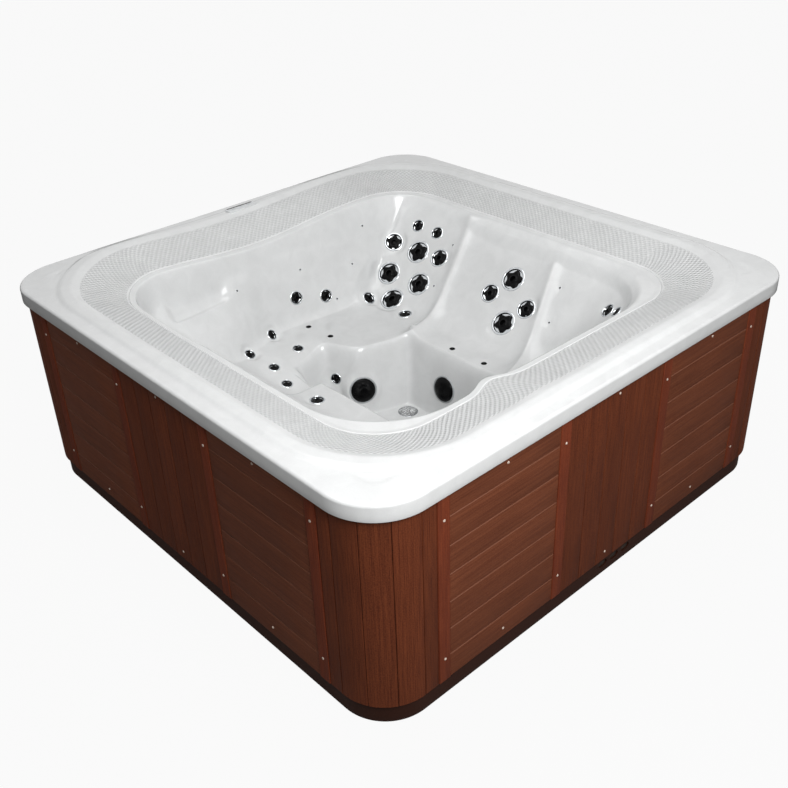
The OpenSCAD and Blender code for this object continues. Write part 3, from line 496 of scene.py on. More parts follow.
def cut_prisms(piece, shapes, place, low, high):
    """cuts prisms out of a piece; place makes a point of a shape's two measures and a depth"""
    points, faces = [], []
    for shape in shapes:
        faces += prism_faces(len(shape), 2, len(points))
        points += [place(u, v, depth) for depth in (low, high) for u, v in shape]
    cutter = make_piece("cutter", points, faces)
    cut = piece.modifiers.new("cut", "BOOLEAN")
    cut.operation, cut.solver, cut.object = "DIFFERENCE", "EXACT", cutter
    bake(piece, 40)
    bpy.data.objects.remove(cutter)


def slot_shape(x, z, radius, straight):
    """outline of a hole with round ends, straight for so long between them"""
    turns = np.radians(np.arange(0, 360, 15))
    return [(x + radius * math.cos(a) + (straight / 2 if math.cos(a) > 0.01 else -straight / 2),
             z + radius * math.sin(a)) for a in turns]


def line_cuts(path_x, path_y, steps):
    """places along each line, closer where the surface bends: steps + 1 points a line"""
    samples = 480
    f = np.linspace(0, 1, samples + 1)
    legs = np.hypot(np.diff(path_x, axis=0), np.diff(path_y, axis=0))
    sums = np.vstack([np.zeros(legs.shape[1]), np.cumsum(legs, axis=0)])
    x = np.empty((samples + 1, path_x.shape[1]))
    y = np.empty_like(x)
    for j in range(path_x.shape[1]):
        x[:, j] = np.interp(f * sums[-1, j], sums[:, j], path_x[:, j])
        y[:, j] = np.interp(f * sums[-1, j], sums[:, j], path_y[:, j])
    z = level_at(x, y)
    run = np.hypot(np.diff(x, axis=0), np.diff(y, axis=0))
    rise = np.diff(z, axis=0)
    tilt = np.degrees(np.arctan2(rise, np.maximum(run, 1e-6)))
    turn = np.abs(np.diff(tilt, axis=0, prepend=tilt[:1]))
    cost = np.hypot(run, rise) + turn
    # neighbouring lines share their cost, so that the rings run evenly
    kernel = np.ones(9) / 9
    padded = np.hstack([cost[:, -4:], cost, cost[:, :4]])
    cost = np.apply_along_axis(lambda row: np.convolve(row, kernel, "valid"), 1, padded)
    total = np.vstack([np.zeros(cost.shape[1]), np.cumsum(cost, axis=0)])
    out_x = np.empty((steps + 1, x.shape[1]))
    out_y = np.empty_like(out_x)
    for j in range(x.shape[1]):
        at = np.interp(np.linspace(0, total[-1, j], steps + 1), total[:, j], f)
        out_x[:, j] = np.interp(at, f, x[:, j])
        out_y[:, j] = np.interp(at, f, y[:, j])
    return out_x, out_y


def groove_depth(t):
    """the trim groove between the smooth mouth edge and the embossed collar"""
    return 3.2 * np.exp(-((t - GROOVE_SHARE) * COLLAR_WIDE / 1.5) ** 2)


def ring_on_shell(x, y, below=0):
    """a ring of points on the surface, or so far below it"""
    return np.stack([x, y, level_at(x, y) - below], -1)


def build_basin(material):
    """seats, footwell and mouth edge, with the glass fibre backing behind them"""
    lines, steps = 600, 124
    k = np.arange(lines) * 96 / lines
    mx, my = collar_at(k, 0)
    sx, sy = seat_edge(k)
    span = np.hypot(sx - mx, sy - my)
    ux, uy = (sx - mx) / span, (sy - my) / span
    rings = []
    for share in (0.06, 0.12, 0.2, 0.28, 0.36, 0.45):
        rings.append(ring_on_shell(sx * share, sy * share))
    near = 16
    path_x = np.stack([sx * 0.5, sx, mx + near * ux])
    path_y = np.stack([sy * 0.5, sy, my + near * uy])
    x, y = line_cuts(path_x, path_y, steps)
    rings += [ring_on_shell(x[i], y[i]) for i in range(steps + 1)]
    for inset in (12, 9, 6.5, 4.5, 3, 1.5, 0):
        rings.append(ring_on_shell(mx + inset * ux, my + inset * uy))
    for t in (0.015, 0.03, 0.05, 0.07, 0.083, 0.09, 0.095, GROOVE_SHARE):
        rings.append(ring_on_shell(*collar_at(k, t), groove_depth(t)))
    inner = len(rings)
    points = seat_fittings(np.concatenate(rings))
    rings = [points[i * lines:(i + 1) * lines] for i in range(inner)]
    # the backing: in from the groove, then behind the walls and under the seats
    rings.append(rings[-1] - [0, 0, WALL_T])
    for i in range(inner - 20, 0, -11):
        x, y = rings[i][:, 0], rings[i][:, 1]
        out = 30 * ease(i, 0, 30)
        z = level_at(x, y, 0) - BACKING_UNDER
        rings.append(np.stack([x - out * ux, y - out * uy, z], -1))
    faces = ring_faces(len(rings), lines, poles=True)
    poles = [[0, 0, FOOT_FLOOR], [0, 0, rings[-1].mean(0)[2]]]
    points = np.concatenate(rings + [np.array(poles)])
    points, faces = cut_holes(points, faces)
    return make_piece("basin", points, faces, material)


def cut_holes(points, faces):
    """opens a round hole under the flange of each jet"""
    corners = np.array([f if len(f) == 4 else f + [f[-1]] for f in faces])
    keep = np.ones(len(faces), bool)
    middle = points[corners].mean(1)
    for (centre, normal), flat, hole in FITTING_FRAMES:
        if not hole:
            continue
        offset = middle - centre
        height = offset @ normal
        reach = np.linalg.norm(offset - height[:, None] * normal, axis=1)
        inside = (reach < hole) & (np.abs(height) < 12)
        edge = np.intersect1d(np.unique(corners[inside]), np.unique(corners[keep & ~inside]))
        keep &= ~inside
        offset = points[edge] - centre
        height = offset @ normal
        flat_part = offset - height[:, None] * normal
        points[edge] = centre + height[:, None] * normal + flat_part * (
            hole / np.linalg.norm(flat_part, axis=1))[:, None]
    return points, [f for f, k in zip(faces, keep) if k]


def build_rim(material):
    """embossed collar, raised border, band with coaster dimples, lip and its underside"""
    lines = 760
    k = np.arange(lines) * 96 / lines
    rings, shares = [], [GROOVE_SHARE, 0.105, 0.11, 0.118, *np.linspace(0.13, 1, 27)]
    for t in shares:
        x, y = collar_at(k, t)
        crease = 0.8 * np.exp(-((t - CREASE_SHARE) * COLLAR_WIDE / 5) ** 2)
        rings.append(np.stack([x, y, level_at(x, y) - groove_depth(t) - crease], -1))
    sides = mouth_place(k)
    for half, r in [(964, 370), (972, 375), (979, 379), (983, 382), (987, 384.5), (991.5, 387),
                    (996, 390), (1000.5, 393), (1005, 395.5), (1009, 398), (1016, 402)]:
        x, y = outline(sides, half, half, r)
        z = level_at(x, y)
        sunk = within(x, *PLATE_X, 8) * within(y, *PLATE_Y, 8)
        rings.append(np.stack([x, y, z - sunk * (z - PLATE_SUNK)], -1))
    for f in np.linspace(0, 1, 17)[1:]:
        half = 1016 + (LIP_HALF - LIP_ROLL - 1016) * f
        x, y = outline(sides, half, half, 402 + (LIP_R - LIP_ROLL - 402) * f)
        z = level_at(x, y)
        reach = np.hypot(np.abs(x) - COASTER_AT, np.abs(y) - COASTER_AT)
        corner = level_at(np.sign(x) * COASTER_AT, np.sign(y) * COASTER_AT)
        dish = 1 - ease(reach, COASTER_R - 7, COASTER_R + 1)
        rings.append(np.stack([x, y, z * (1 - dish) + (corner - COASTER_DEEP) * dish], -1))
    for a in range(15, 91, 15):
        out, up = math.cos(math.radians(90 - a)), math.sin(math.radians(90 - a))
        inset = LIP_ROLL * (1 - out)
        x, y = outline(sides, LIP_HALF - inset, LIP_HALF - inset, LIP_R - inset)
        rings.append(np.stack([x, y, LIP_SHOULDER + (level_at(x, y) - LIP_SHOULDER) * up], -1))
    for half, z in [(LIP_HALF, 796), (LIP_HALF, 776.5), (LIP_HALF - 0.8, 774.7),
                    (LIP_HALF - 2.5, LIP_LOW), (LIP_HALF - LIP_T + 2.5, LIP_LOW),
                    (LIP_HALF - LIP_T, LIP_LOW + 2.5), (LIP_HALF - LIP_T, BAND_TOP - 14)]:
        x, y = outline(sides, half, half, LIP_R - (LIP_HALF - half))
        rings.append(np.stack([x, y, np.full(lines, float(z))], -1))
    for half, r in (BORDER, COLLAR):
        rings.append(ring_on_shell(*outline(sides, half, half, r), 14))
    for t in (0.8, 0.6, 0.4, 0.2, GROOVE_SHARE):
        rings.append(ring_on_shell(*collar_at(k, t), WALL_T))
    faces = ring_faces(len(rings), lines, around=True)
    piece = make_piece("rim", np.concatenate(rings), faces, material)
    # pips of the embossing, 20 mm apart round the collar and across it; none past the collar
    pips_round, pips_across = 320, 10.5
    shares += [1.2] * (len(rings) - len(shares))
    uv = piece.data.uv_layers.new(name="emboss")
    corner = np.empty(len(piece.data.loops), np.int64)
    piece.data.loops.foreach_get("vertex_index", corner)
    ring, line = corner // lines, (corner % lines).astype(float)
    by_face = line.reshape(-1, 4)
    by_face[(by_face.max(1) > lines * 0.75)[:, None] & (by_face < lines * 0.25)] += lines
    u = by_face.reshape(-1) * pips_round / lines
    v = np.array(shares)[ring] * pips_across
    uv.data.foreach_set("uv", np.stack([u, v], -1).astype(np.float32).reshape(-1))
    return piece


# ---------------------------------------------------------------- trees that repeat and turn

def new_tree(name, sockets):
    """an empty tree with named inputs, each a name, a kind and a first value"""
    tree = bpy.data.node_groups.new(name, "GeometryNodeTree")
    tree.interface.new_socket("Geometry", in_out="INPUT", socket_type="NodeSocketGeometry")
    for title, kind, value in sockets:
        made = tree.interface.new_socket(title, in_out="INPUT", socket_type="NodeSocket" + kind)
        if value is not None:
            made.default_value = value
    tree.interface.new_socket("Geometry", in_out="OUTPUT", socket_type="NodeSocketGeometry")
    return tree, add(tree, "NodeGroupInput").outputs


def turned_tree():
    """turns a profile, x out and z up, round the Z axis; lobes pull it in and down between them"""
    tree, given = new_tree("turned form", [
        ("Segments", "Int", 48), ("Lobes", "Int", 5), ("Pull In", "Float", 0.0),
        ("Drop", "Float", 0.0), ("Lobes From", "Float", 0.0), ("Lobes Full", "Float", 0.001),
        ("Lobes Fade", "Float", 9.0), ("Lobes End", "Float", 9.1), ("Material", "Material", None)])
    size = add(tree, "GeometryNodeAttributeDomainSize", {0: given["Geometry"]})
    rows = size.outputs["Point Count"]
    columns = maths(tree, "ADD", given["Segments"], 1.0)
    grid = add(tree, "GeometryNodeMeshGrid", {"Vertices X": columns, "Vertices Y": rows})
    index = add(tree, "GeometryNodeInputIndex")
    share = maths(tree, "DIVIDE", index, rows)
    column = maths(tree, "FLOOR", share)
    row = maths(tree, "MODULO", index, rows)
    place = add(tree, "GeometryNodeInputPosition")
    point = add(tree, "GeometryNodeSampleIndex", {"Geometry": given["Geometry"], "Value": place,
                                                  "Index": row}, data_type="FLOAT_VECTOR")
    parts = add(tree, "ShaderNodeSeparateXYZ", {0: point.outputs["Value"]}).outputs
    part = maths(tree, "DIVIDE", column, given["Segments"])
    angle = maths(tree, "MULTIPLY", part, math.tau)
    turns = maths(tree, "MULTIPLY", angle, given["Lobes"])
    swing = maths(tree, "COSINE", turns)
    between = maths(tree, "MULTIPLY_ADD", swing, -0.5, 0.5)
    rise = remap(tree, parts["X"], given["Lobes From"], given["Lobes Full"], smooth=True)
    fall = remap(tree, parts["X"], given["Lobes Fade"], given["Lobes End"], 1.0, 0.0, smooth=True)
    zone = maths(tree, "MULTIPLY", rise, fall)
    depth = maths(tree, "MULTIPLY", between, zone)
    pull = maths(tree, "MULTIPLY", depth, given["Pull In"])
    keep = maths(tree, "SUBTRACT", 1.0, pull)
    radius = maths(tree, "MULTIPLY", parts["X"], keep)
    sink = maths(tree, "MULTIPLY", depth, given["Drop"])
    level = maths(tree, "SUBTRACT", parts["Z"], sink)
    ray = add(tree, "ShaderNodeCombineXYZ", {0: radius, 2: level})
    spun = add(tree, "ShaderNodeVectorRotate", {"Vector": ray, "Angle": angle},
               rotation_type="Z_AXIS")
    moved = add(tree, "GeometryNodeSetPosition", {"Geometry": grid, "Position": spun})
    joined = add(tree, "GeometryNodeMergeByDistance", {"Geometry": moved, "Distance": 0.00001})
    done = add(tree, "GeometryNodeSetMaterial", {"Geometry": joined, "Material": given["Material"]})
    add(tree, "NodeGroupOutput", {0: done})
    return tree


def set_out_tree():
    """copies an object onto points, turned and sized by their attributes; each copy gets a tone"""
    tree, given = new_tree("set out copies", [("Copy", "Object", None), ("Seed", "Int", 1),
                                              ("Material", "Material", None)])
    copy = add(tree, "GeometryNodeObjectInfo", {"Object": given["Copy"], "As Instance": True})
    turn = add(tree, "GeometryNodeInputNamedAttribute", {"Name": "turn"}, data_type="FLOAT_VECTOR")
    size = add(tree, "GeometryNodeInputNamedAttribute", {"Name": "size"}, data_type="FLOAT_VECTOR")
    facing = add(tree, "FunctionNodeEulerToRotation", {0: turn.outputs["Attribute"]})
    placed = add(tree, "GeometryNodeInstanceOnPoints", {
        "Points": given["Geometry"], "Instance": copy.outputs["Geometry"],
        "Rotation": facing, "Scale": size.outputs["Attribute"]})
    tone = add(tree, "FunctionNodeRandomValue", {"Seed": given["Seed"]}, data_type="FLOAT")
    toned = add(tree, "GeometryNodeStoreNamedAttribute", {
        "Geometry": placed, "Name": "tone", "Value": tone.outputs[1]},
        data_type="FLOAT", domain="INSTANCE")
    whole = add(tree, "GeometryNodeRealizeInstances", {"Geometry": toned})
    done = add(tree, "GeometryNodeSetMaterial", {"Geometry": whole, "Material": given["Material"]})
    add(tree, "NodeGroupOutput", {0: done})
    return tree


def run_tree(name, mesh, tree, values, sharp=40):
    """makes a piece of what the tree gives for a mesh; values go by the inputs' names"""
    piece = bpy.data.objects.new(name, mesh)
    bpy.context.scene.collection.objects.link(piece)
    modifier = piece.modifiers.new(tree.name, "NODES")
    modifier.node_group = tree
    for item in tree.interface.items_tree:
        if item.in_out == "INPUT" and item.name in values:
            modifier[item.identifier] = values[item.name]
    bake(piece, sharp)
    piece.data.name = name
    return piece


def turn_profile(name, profile, material, segments=48, sharp=40, **lobes):
    """a turned form from profile points in millimetres, with its faces outwards"""
    mesh = bpy.data.meshes.new(name + "_profile")
    mesh.from_pydata([(r / 1000, 0, z / 1000) for r, z in profile], [], [])
    values = {"Segments": segments, "Material": material}
    values.update({key.replace("_", " ").title(): value for key, value in lobes.items()})
    piece = run_tree(name, mesh, TURNED, values, sharp)
    corners = np.array([v.co for v in piece.data.vertices])
    piece.data.calc_loop_triangles()
    a, b, c = (corners[[t.vertices[i] for t in piece.data.loop_triangles]] for i in range(3))
    if np.einsum("ij,ij->i", a, np.cross(b, c)).sum() < 0:
        piece.data.flip_normals()
    return piece


def set_out(name, copy, places, material, body="tub", seed=1):
    """copies at places, each a point in millimetres, a turn in radians and a size"""
    points, turns, sizes = zip(*places)
    mesh = bpy.data.meshes.new(name + "_places")
    mesh.from_pydata([(np.array(p) / 1000).tolist() for p in points], [], [])
    for title, rows in (("turn", turns), ("size", sizes)):
        made = mesh.attributes.new(title, "FLOAT_VECTOR", "POINT")
        made.data.foreach_set("vector", np.array(rows, np.float32).reshape(-1))
    piece = run_tree(name, mesh, SET_OUT, {"Copy": copy, "Seed": seed, "Material": material})
    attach(piece, body)
    return piece


def turned_set(name, profile, material, places, segments, sharp=40, **lobes):
    """copies of a turned form at places, on the tub itself"""
    form = turn_profile(name + "_form", profile, material, segments, sharp, **lobes)
    copies = set_out(name, form, places, material)
    bpy.data.objects.remove(form)
    return copies


def fitting_place(x, y, turned=0):
    """place of a fitting: its point, and the turn that sets its axis square to the surface;
    turned is in degrees about that axis"""
    point, normal = surface_frame(x, y)
    tilt = Matrix.Rotation(math.acos(normal[2]), 3, "Y")
    facing = Matrix.Rotation(math.atan2(normal[1], normal[0]), 3, "Z")
    spin = Matrix.Rotation(math.radians(turned), 3, "Z")
    return point, tuple((facing @ tilt @ spin).to_euler()), (1, 1, 1)


def fitting_places(spots):
    """places of fittings that stand unturned"""
    return [fitting_place(x, y) for x, y in spots]


TURNED, SET_OUT = turned_tree(), set_out_tree()

# ---------------------------------------------------------------- materials

GLOSS, HOLLOW_SHADE = 0.16, 0.12


def cast_acrylic(name, embossed):
    """cast acrylic sheet, vacuum formed: deep even gloss, near white with a faint pearl marbling"""
    material, tree, shader = start_material(name, "#DFE0E0", GLOSS, IOR=1.49)
    where = add(tree, "ShaderNodeTexCoord").outputs["Object"]
    # marbling in clouds of about 70 mm, and pearl flakes of about 5 mm
    cloud = add(tree, "ShaderNodeTexNoise", {"Vector": where, "Scale": 14.0, "Detail": 3.0,
                                             "Roughness": 0.55, "Distortion": 0.6})
    flake = add(tree, "ShaderNodeTexNoise", {"Vector": where, "Scale": 200.0, "Detail": 1.0})
    pearl = maths(tree, "MULTIPLY_ADD", flake, 0.25, cloud)
    tone = remap(tree, pearl, 0.45, 0.8)
    colour = blend(tree, tone, linear("#DCDDDD"), linear("#E3E4E4"))
    # painted shade: the white is painted a little greyer low in the basin, standing for the shade
    # of its deep
    level = add(tree, "ShaderNodeSeparateXYZ", {0: where}).outputs["Z"]
    painted_deep_shade = remap(tree, level, 0.64, 0.79, 0.87)
    white = add(tree, "ShaderNodeHueSaturation", {"Color": colour, "Value": painted_deep_shade})
    # the drawn sheet is never dead flat: a ripple of about 60 mm, a tenth of a millimetre deep
    ripple = add(tree, "ShaderNodeTexNoise", {"Vector": where, "Scale": 16.0, "Detail": 1.0})
    drawn = add(tree, "ShaderNodeBump", {"Height": ripple, "Strength": 0.12, "Distance": 0.002})
    if embossed:
        # pips in rows round the collar, as the map counts them, from a first row to a last
        rows = add(tree, "ShaderNodeUVMap", uv_map="emboss")
        split = add(tree, "ShaderNodeSeparateXYZ", {0: rows})
        waves = []
        for axis in "XY":
            turn = maths(tree, "MULTIPLY", split.outputs[axis], math.tau)
            waves.append(maths(tree, "COSINE", turn))
        pips = maths(tree, "MULTIPLY", waves[0], waves[1])
        begin = remap(tree, split.outputs["Y"], 1.35, 1.5)
        end = remap(tree, split.outputs["Y"], 9.05, 8.9)
        area = maths(tree, "MULTIPLY", begin, end)
        raised = maths(tree, "MULTIPLY", pips, area)
        drawn = add(tree, "ShaderNodeBump", {"Height": raised, "Strength": 1.0,
                                             "Distance": 0.0016, "Normal": drawn})
        # the hollows between the pips lie a little in shade
        shade = maths(tree, "MULTIPLY_ADD", pips, HOLLOW_SHADE, -HOLLOW_SHADE)
        shaded = maths(tree, "MULTIPLY_ADD", shade, area, 1.0)
        fill(tree, white, {"Value": shaded})
        dull = remap(tree, area, to_low=GLOSS, to_high=0.3)
        fill(tree, shader, {"Roughness": dull})
    fill(tree, shader, {"Base Color": white, "Normal": drawn})
    return material


def wood_composite(name, dark, pale, across):
    """board of wood flour in polyethylene, pressed and embossed: dull satin with a fine grain
    along the board, each board a shade of its own; across is the width of a streak in metres"""
    material, tree, shader = start_material(name, dark, 0.58, IOR=1.49, Specular_IOR_Level=0.13)
    grain_uv = add(tree, "ShaderNodeUVMap", uv_map="grain")
    tone = add(tree, "ShaderNodeAttribute", attribute_name="tone").outputs["Fac"]
    apart = add(tree, "ShaderNodeCombineXYZ", {0: tone, 1: tone, 2: tone})
    shift = add(tree, "ShaderNodeVectorMath", {0: apart, 1: (7.0, 3.0, 11.0), 2: grain_uv},
                operation="MULTIPLY_ADD")
    # streaks some 40 times as long as wide, and a mottle of pressed flour of about 4 mm
    size = (1 / (40 * across), 1 / across, 1.0)
    stretch = add(tree, "ShaderNodeVectorMath", {0: shift, 1: size}, operation="MULTIPLY")
    streak = add(tree, "ShaderNodeTexNoise", {"Vector": stretch, "Scale": 1.0, "Detail": 4.0,
                                              "Roughness": 0.65})
    mottle = add(tree, "ShaderNodeTexNoise", {"Vector": shift, "Scale": 260.0, "Detail": 2.0})
    wide = add(tree, "ShaderNodeTexNoise", {"Vector": shift, "Scale": 5.0})
    flour = maths(tree, "MULTIPLY", mottle, 0.38)
    both = maths(tree, "MULTIPLY_ADD", streak, 0.62, flour)
    figure = remap(tree, both, 0.36, 0.66)
    colour = blend(tree, figure, linear(dark), linear(pale))
    shade = maths(tree, "MULTIPLY_ADD", tone, 0.55, wide)
    level = remap(tree, shade, 0.35, 1.25, 0.84, 1.14)
    value = add(tree, "ShaderNodeHueSaturation", {"Color": colour, "Value": level})
    # painted highlight: the eased upper edges are painted paler, as if they caught the light
    painted_edge_highlight = add(tree, "ShaderNodeAttribute", attribute_name="painted_edge_highlight").outputs["Fac"]
    painted_highlight_colour = blend(tree, painted_edge_highlight, value, linear("#754A38"))
    rough = remap(tree, both, to_low=0.5, to_high=0.7)
    relief = add(tree, "ShaderNodeBump", {"Height": both, "Strength": 0.6, "Distance": 0.0008})
    fill(tree, shader, {"Base Color": painted_highlight_colour, "Roughness": rough, "Normal": relief})
    return material


def speckled(name, colour, other, roughness, speck, relief, **sockets):
    """a moulded or cast finish: two near shades and a fine relief; speck is its size in metres"""
    material, tree, shader = start_material(name, colour, roughness, **sockets)
    where = add(tree, "ShaderNodeTexCoord").outputs["Object"]
    noise = add(tree, "ShaderNodeTexNoise", {"Vector": where, "Scale": 1 / speck, "Detail": 3.0})
    share = remap(tree, noise, 0.35, 0.65)
    mixed = blend(tree, share, linear(colour), linear(other))
    spread = remap(tree, noise, to_low=max(roughness - 0.06, 0.02), to_high=roughness + 0.06)
    fine = add(tree, "ShaderNodeBump", {"Height": noise, "Strength": 0.5, "Distance": relief})
    fill(tree, shader, {"Base Color": mixed, "Roughness": spread, "Normal": fine})
    return material


# ---------------------------------------------------------------- the tub

basin = build_basin(cast_acrylic("cast_acrylic", False))
rim = build_rim(cast_acrylic("cast_acrylic_embossed", True))
for piece in (basin, rim):
    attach(piece, "tub")
    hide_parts("shell")

# chromed ABS: bright mirror with a faint ripple of the moulding under the plating
chromed_abs = speckled("chromed_abs", "#CDD0D2", "#BFC2C5", 0.1, 0.012, 0.00004, Metallic=1.0)
# injection moulded ABS, polished tool: deep gloss black with small sharp highlights
black_abs = speckled("gloss_black_abs", "#030303", "#070708", 0.22, 0.003, 0.00003, IOR=1.53,
                     Specular_IOR_Level=0.08)
# moulded ABS, satin: its grey is darkened as painted shade, standing for the shade of a recess
# round the suction dome
recess_shaded_abs = speckled("grey_abs_painted_recess_shade", "#999C9E", "#A5A8AA", 0.35, 0.004, 0.00003, IOR=1.53)
# moulded ABS, near white, satin
white_abs = speckled("white_abs", "#D3D5D6", "#DCDEDF", 0.3, 0.004, 0.00003, IOR=1.53)
# smoked polycarbonate lens: dark and glossy
smoked_lens = speckled("smoked_polycarbonate", "#191B1D", "#232628", 0.12, 0.003, 0.00001,
                       IOR=1.585)
# aluminised reflector dish: a darker mirror than the plating, slightly hazy
reflector = speckled("aluminised_reflector", "#7A7D80", "#A9ACAE", 0.12, 0.004, 0.0002,
                     Metallic=1.0)
# clear polycarbonate lens: bright, slightly grey in the thick
clear_lens = start_material("clear_polycarbonate", "#F2F3F3", 0.03, IOR=1.585,
                            Transmission_Weight=0.85)[0]
# composite boards: upright ones with fine streaks, level ones mottled, stiles a little redder
upright_wood = wood_composite("wood_composite_upright", "#4B2112", "#723A21", 0.004)
level_wood = wood_composite("wood_composite_level", "#5C2E1C", "#7C472F", 0.005)
stile_wood = wood_composite("wood_composite_stile", "#5C2616", "#7B3C24", 0.004)
# zinc plated and painted pan head screws: pale beige, satin
painted_screw = speckled("painted_screw", "#D9C9BC", "#CBB8A9", 0.4, 0.002, 0.00003)
# vacuum formed ABS sheet with a leather grain of about 2 mm: dark brown, dull
grained_abs = speckled("leather_grained_abs", "#2A140C", "#341B12", 0.5, 0.002, 0.0002, IOR=1.53,
                       Specular_IOR_Level=0.12)
# sawn pine, stained nearly black against damp: dull, with a soft grain
stained_pine = speckled("stained_pine", "#231A14", "#32261D", 0.7, 0.02, 0.0003)
# powder coated motor casting: black, slightly orange peeled
motor_paint = speckled("motor_powder_coat", "#1C1E20", "#26282B", 0.45, 0.003, 0.0002)
# drawn stainless steel tube
stainless = speckled("stainless_steel", "#B9BBBC", "#A9ABAD", 0.28, 0.004, 0.00005, Metallic=1.0)
# grey ABS housing of the control box
grey_abs = speckled("grey_abs_housing", "#8A8D8F", "#929597", 0.5, 0.003, 0.0001, IOR=1.53)
# extruded PVC pipe: white, smooth, slightly uneven
pvc_pipe = speckled("white_pvc", "#E4E4E0", "#DADAD5", 0.35, 0.01, 0.0001, IOR=1.53)
# smoked acrylic overlay of the control panel
panel_gloss = speckled("smoked_acrylic_panel", "#17191C", "#1D2024", 0.12, 0.005, 0.00002, IOR=1.49)
# silicone rubber button caps
button_rubber = speckled("silicone_rubber", "#C6C9CA", "#D0D2D3", 0.5, 0.002, 0.00005, IOR=1.41)

# jets: a chromed cup and flange let into the shell, and a black star that turns in it
for size, (flange, star, barrel, depth) in enumerate(JET_SIZES):
    bowl, neck, pivot = star + 2.8, barrel * 0.8, 0.36 * star
    cups = turned_set("jet_cups_" + SIZE_NAMES[size], [
        (0, -26), (pivot + 1, -26), (pivot + 1, -7), (star * 0.6, -7), (star * 0.85, -6.7),
        (star + 0.4, -6), (bowl - 0.9, -4.4), (bowl, -2), (bowl + 0.5, 0.4), (bowl + 1.3, 1.5),
        (bowl + 2.4, 2), (flange - 4, 2), (flange - 2.2, 1.7), (flange - 0.9, 0.9),
        (flange - 0.1, -0.4), (flange, -2), (barrel, -2), (barrel, -16), (neck, -20),
        (neck, -depth - 2), (0, -depth - 2)],
        chromed_abs, fitting_places((x, y) for x, y, s in JETS.values() if s == size), 64)
    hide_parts("jet_bodies_" + SIZE_NAMES[size])

    face = turn_profile("star_" + SIZE_NAMES[size], [
        (0, -9), (pivot - 2.5, -9), (pivot - 2.5, 2), (pivot - 2, 2.7), (0.31 * star, 3),
        (0.36 * star, 2.7), (0.4 * star, 1.6), (0.44 * star, 0.1), (0.5 * star, -0.3),
        (0.58 * star, 0.3), (0.68 * star, 0.8), (0.78 * star, 0.8), (0.87 * star, 0.2),
        (0.94 * star, -0.9), (0.985 * star, -2.4), (star, -3.8), (0.985 * star, -4.8),
        (0.95 * star, -5), (pivot, -5), (pivot, -24), (0, -24)], black_abs, 100, 55,
        lobes=STAR_POINTS, pull_in=0.23, drop=0.0012 * star / 42, lobes_from=0.44 * star / 1000,
        lobes_full=0.8 * star / 1000)
    for node, (x, y, s) in JETS.items():
        if s == size:
            place = fitting_place(x, y, TURNED_AT_REST.get(node, 0))
            piece = set_out(node + "_face", face, [place], black_abs, node + "_body")
            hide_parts(node)
    bpy.data.objects.remove(face)

# suction fittings: a ring greyed as painted shade of a recess, and a black dome with fine slots
rings = turned_set("suction_rings", [
    (36, 1), (52.2, 1), (52.6, 2.6), (53.6, 3.6), (55.2, 3.8), (57, 3.2), (58.4, 1.6),
    (59, -0.6), (59, -2), (42, -2), (42, -54), (25, -62), (25, -76), (20, -76), (20, -60),
    (36, -50), (36, 1)], recess_shaded_abs, fitting_places(SUCTIONS), 64)
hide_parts("suction_bodies")
domes = turned_set("suction_domes", [
    (0, 21.3), (7, 21.1), (14, 20.7), (18, 20.2), (20, 19.8), (24, 19.1), (29, 17.9), (34, 16.3),
    (38, 14.7), (42, 12.4), (45, 10.2), (47, 8.2), (48, 7.3), (50, 4.7), (51.2, 3), (51.5, 1.3),
    (47, 1.3), (36, 11.6), (25, 15.1), (12, 17.5), (0, 18.1)],
    black_abs, fitting_places(SUCTIONS), 288, 50,
    lobes=36, drop=0.0016, lobes_from=0.017, lobes_full=0.02, lobes_fade=0.045, lobes_end=0.048)
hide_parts("suction_covers")

# lights: a clear faceted lens over a bright dish in the floor, and small smoked lenses
dishes = turned_set("floor_light_dish_set", [
    (0, 0.5), (10, 0.7), (22, 1.2), (30, 1.6), (36, 1.9), (37.5, 1.6), (39, 1.6), (40.5, 1.2),
    (41.7, 0.2), (42, -1), (42, -2), (32, -2), (32, -36), (29, -36), (29, -5), (0, -5)],
    reflector, fitting_places(FLOOR_LIGHT), 96,
    lobes=10, drop=0.003, lobes_from=0.006, lobes_full=0.018, lobes_fade=0.034, lobes_end=0.036)
lenses = turned_set("floor_light_lens_set", [
    (0, 8.8), (4, 8.7), (6, 7.6), (8, 8.2), (12, 7.9), (16, 7.2), (20, 6.3), (25, 5), (30, 3.9),
    (34, 2.9), (37, 2.2), (37.4, 1.8), (36, 2), (22, 1.5), (0, 1)],
    clear_lens, fitting_places(FLOOR_LIGHT), 96, 30,
    lobes=10, drop=0.0024, lobes_from=0.007, lobes_full=0.013, lobes_fade=0.026, lobes_end=0.034)
for piece in (dishes, lenses):
    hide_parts("floor_light")
smalls = turned_set("small_lights", [
    (0, 2.4), (1.6, 2.2), (3, 1.5), (3.9, 0.6), (3.9, -1), (0, -1)],
    smoked_lens, fitting_places(LEDS), 32)
bezels = turned_set("small_light_bezels", [
    (4, -1.2), (4, 0.6), (4.5, 1.3), (5.6, 1.5), (6.8, 1.1), (7.6, 0.2), (8, -1), (8, -2),
    (5.5, -2), (5.5, -24), (0, -24), (0, -1.2), (4, -1.2)], white_abs, fitting_places(LEDS), 32)
for piece in (smalls, bezels):
    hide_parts("led_lights")
caps = turned_set("injector_caps", [
    (0, 2.5), (2.4, 2.4), (3.4, 2.3), (5, 2.2), (7.5, 1.9), (8.6, 1.7), (9.6, 1.4), (11.4, 0.7),
    (12.4, -0.6), (12.5, -2), (8.5, -2), (8.5, -32), (0, -32)],
    black_abs, fitting_places(INJECTORS), 64,
    lobes=8, drop=0.0016, lobes_from=0.0028, lobes_full=0.0036, lobes_fade=0.0084, lobes_end=0.0095)
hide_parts("air_injectors")

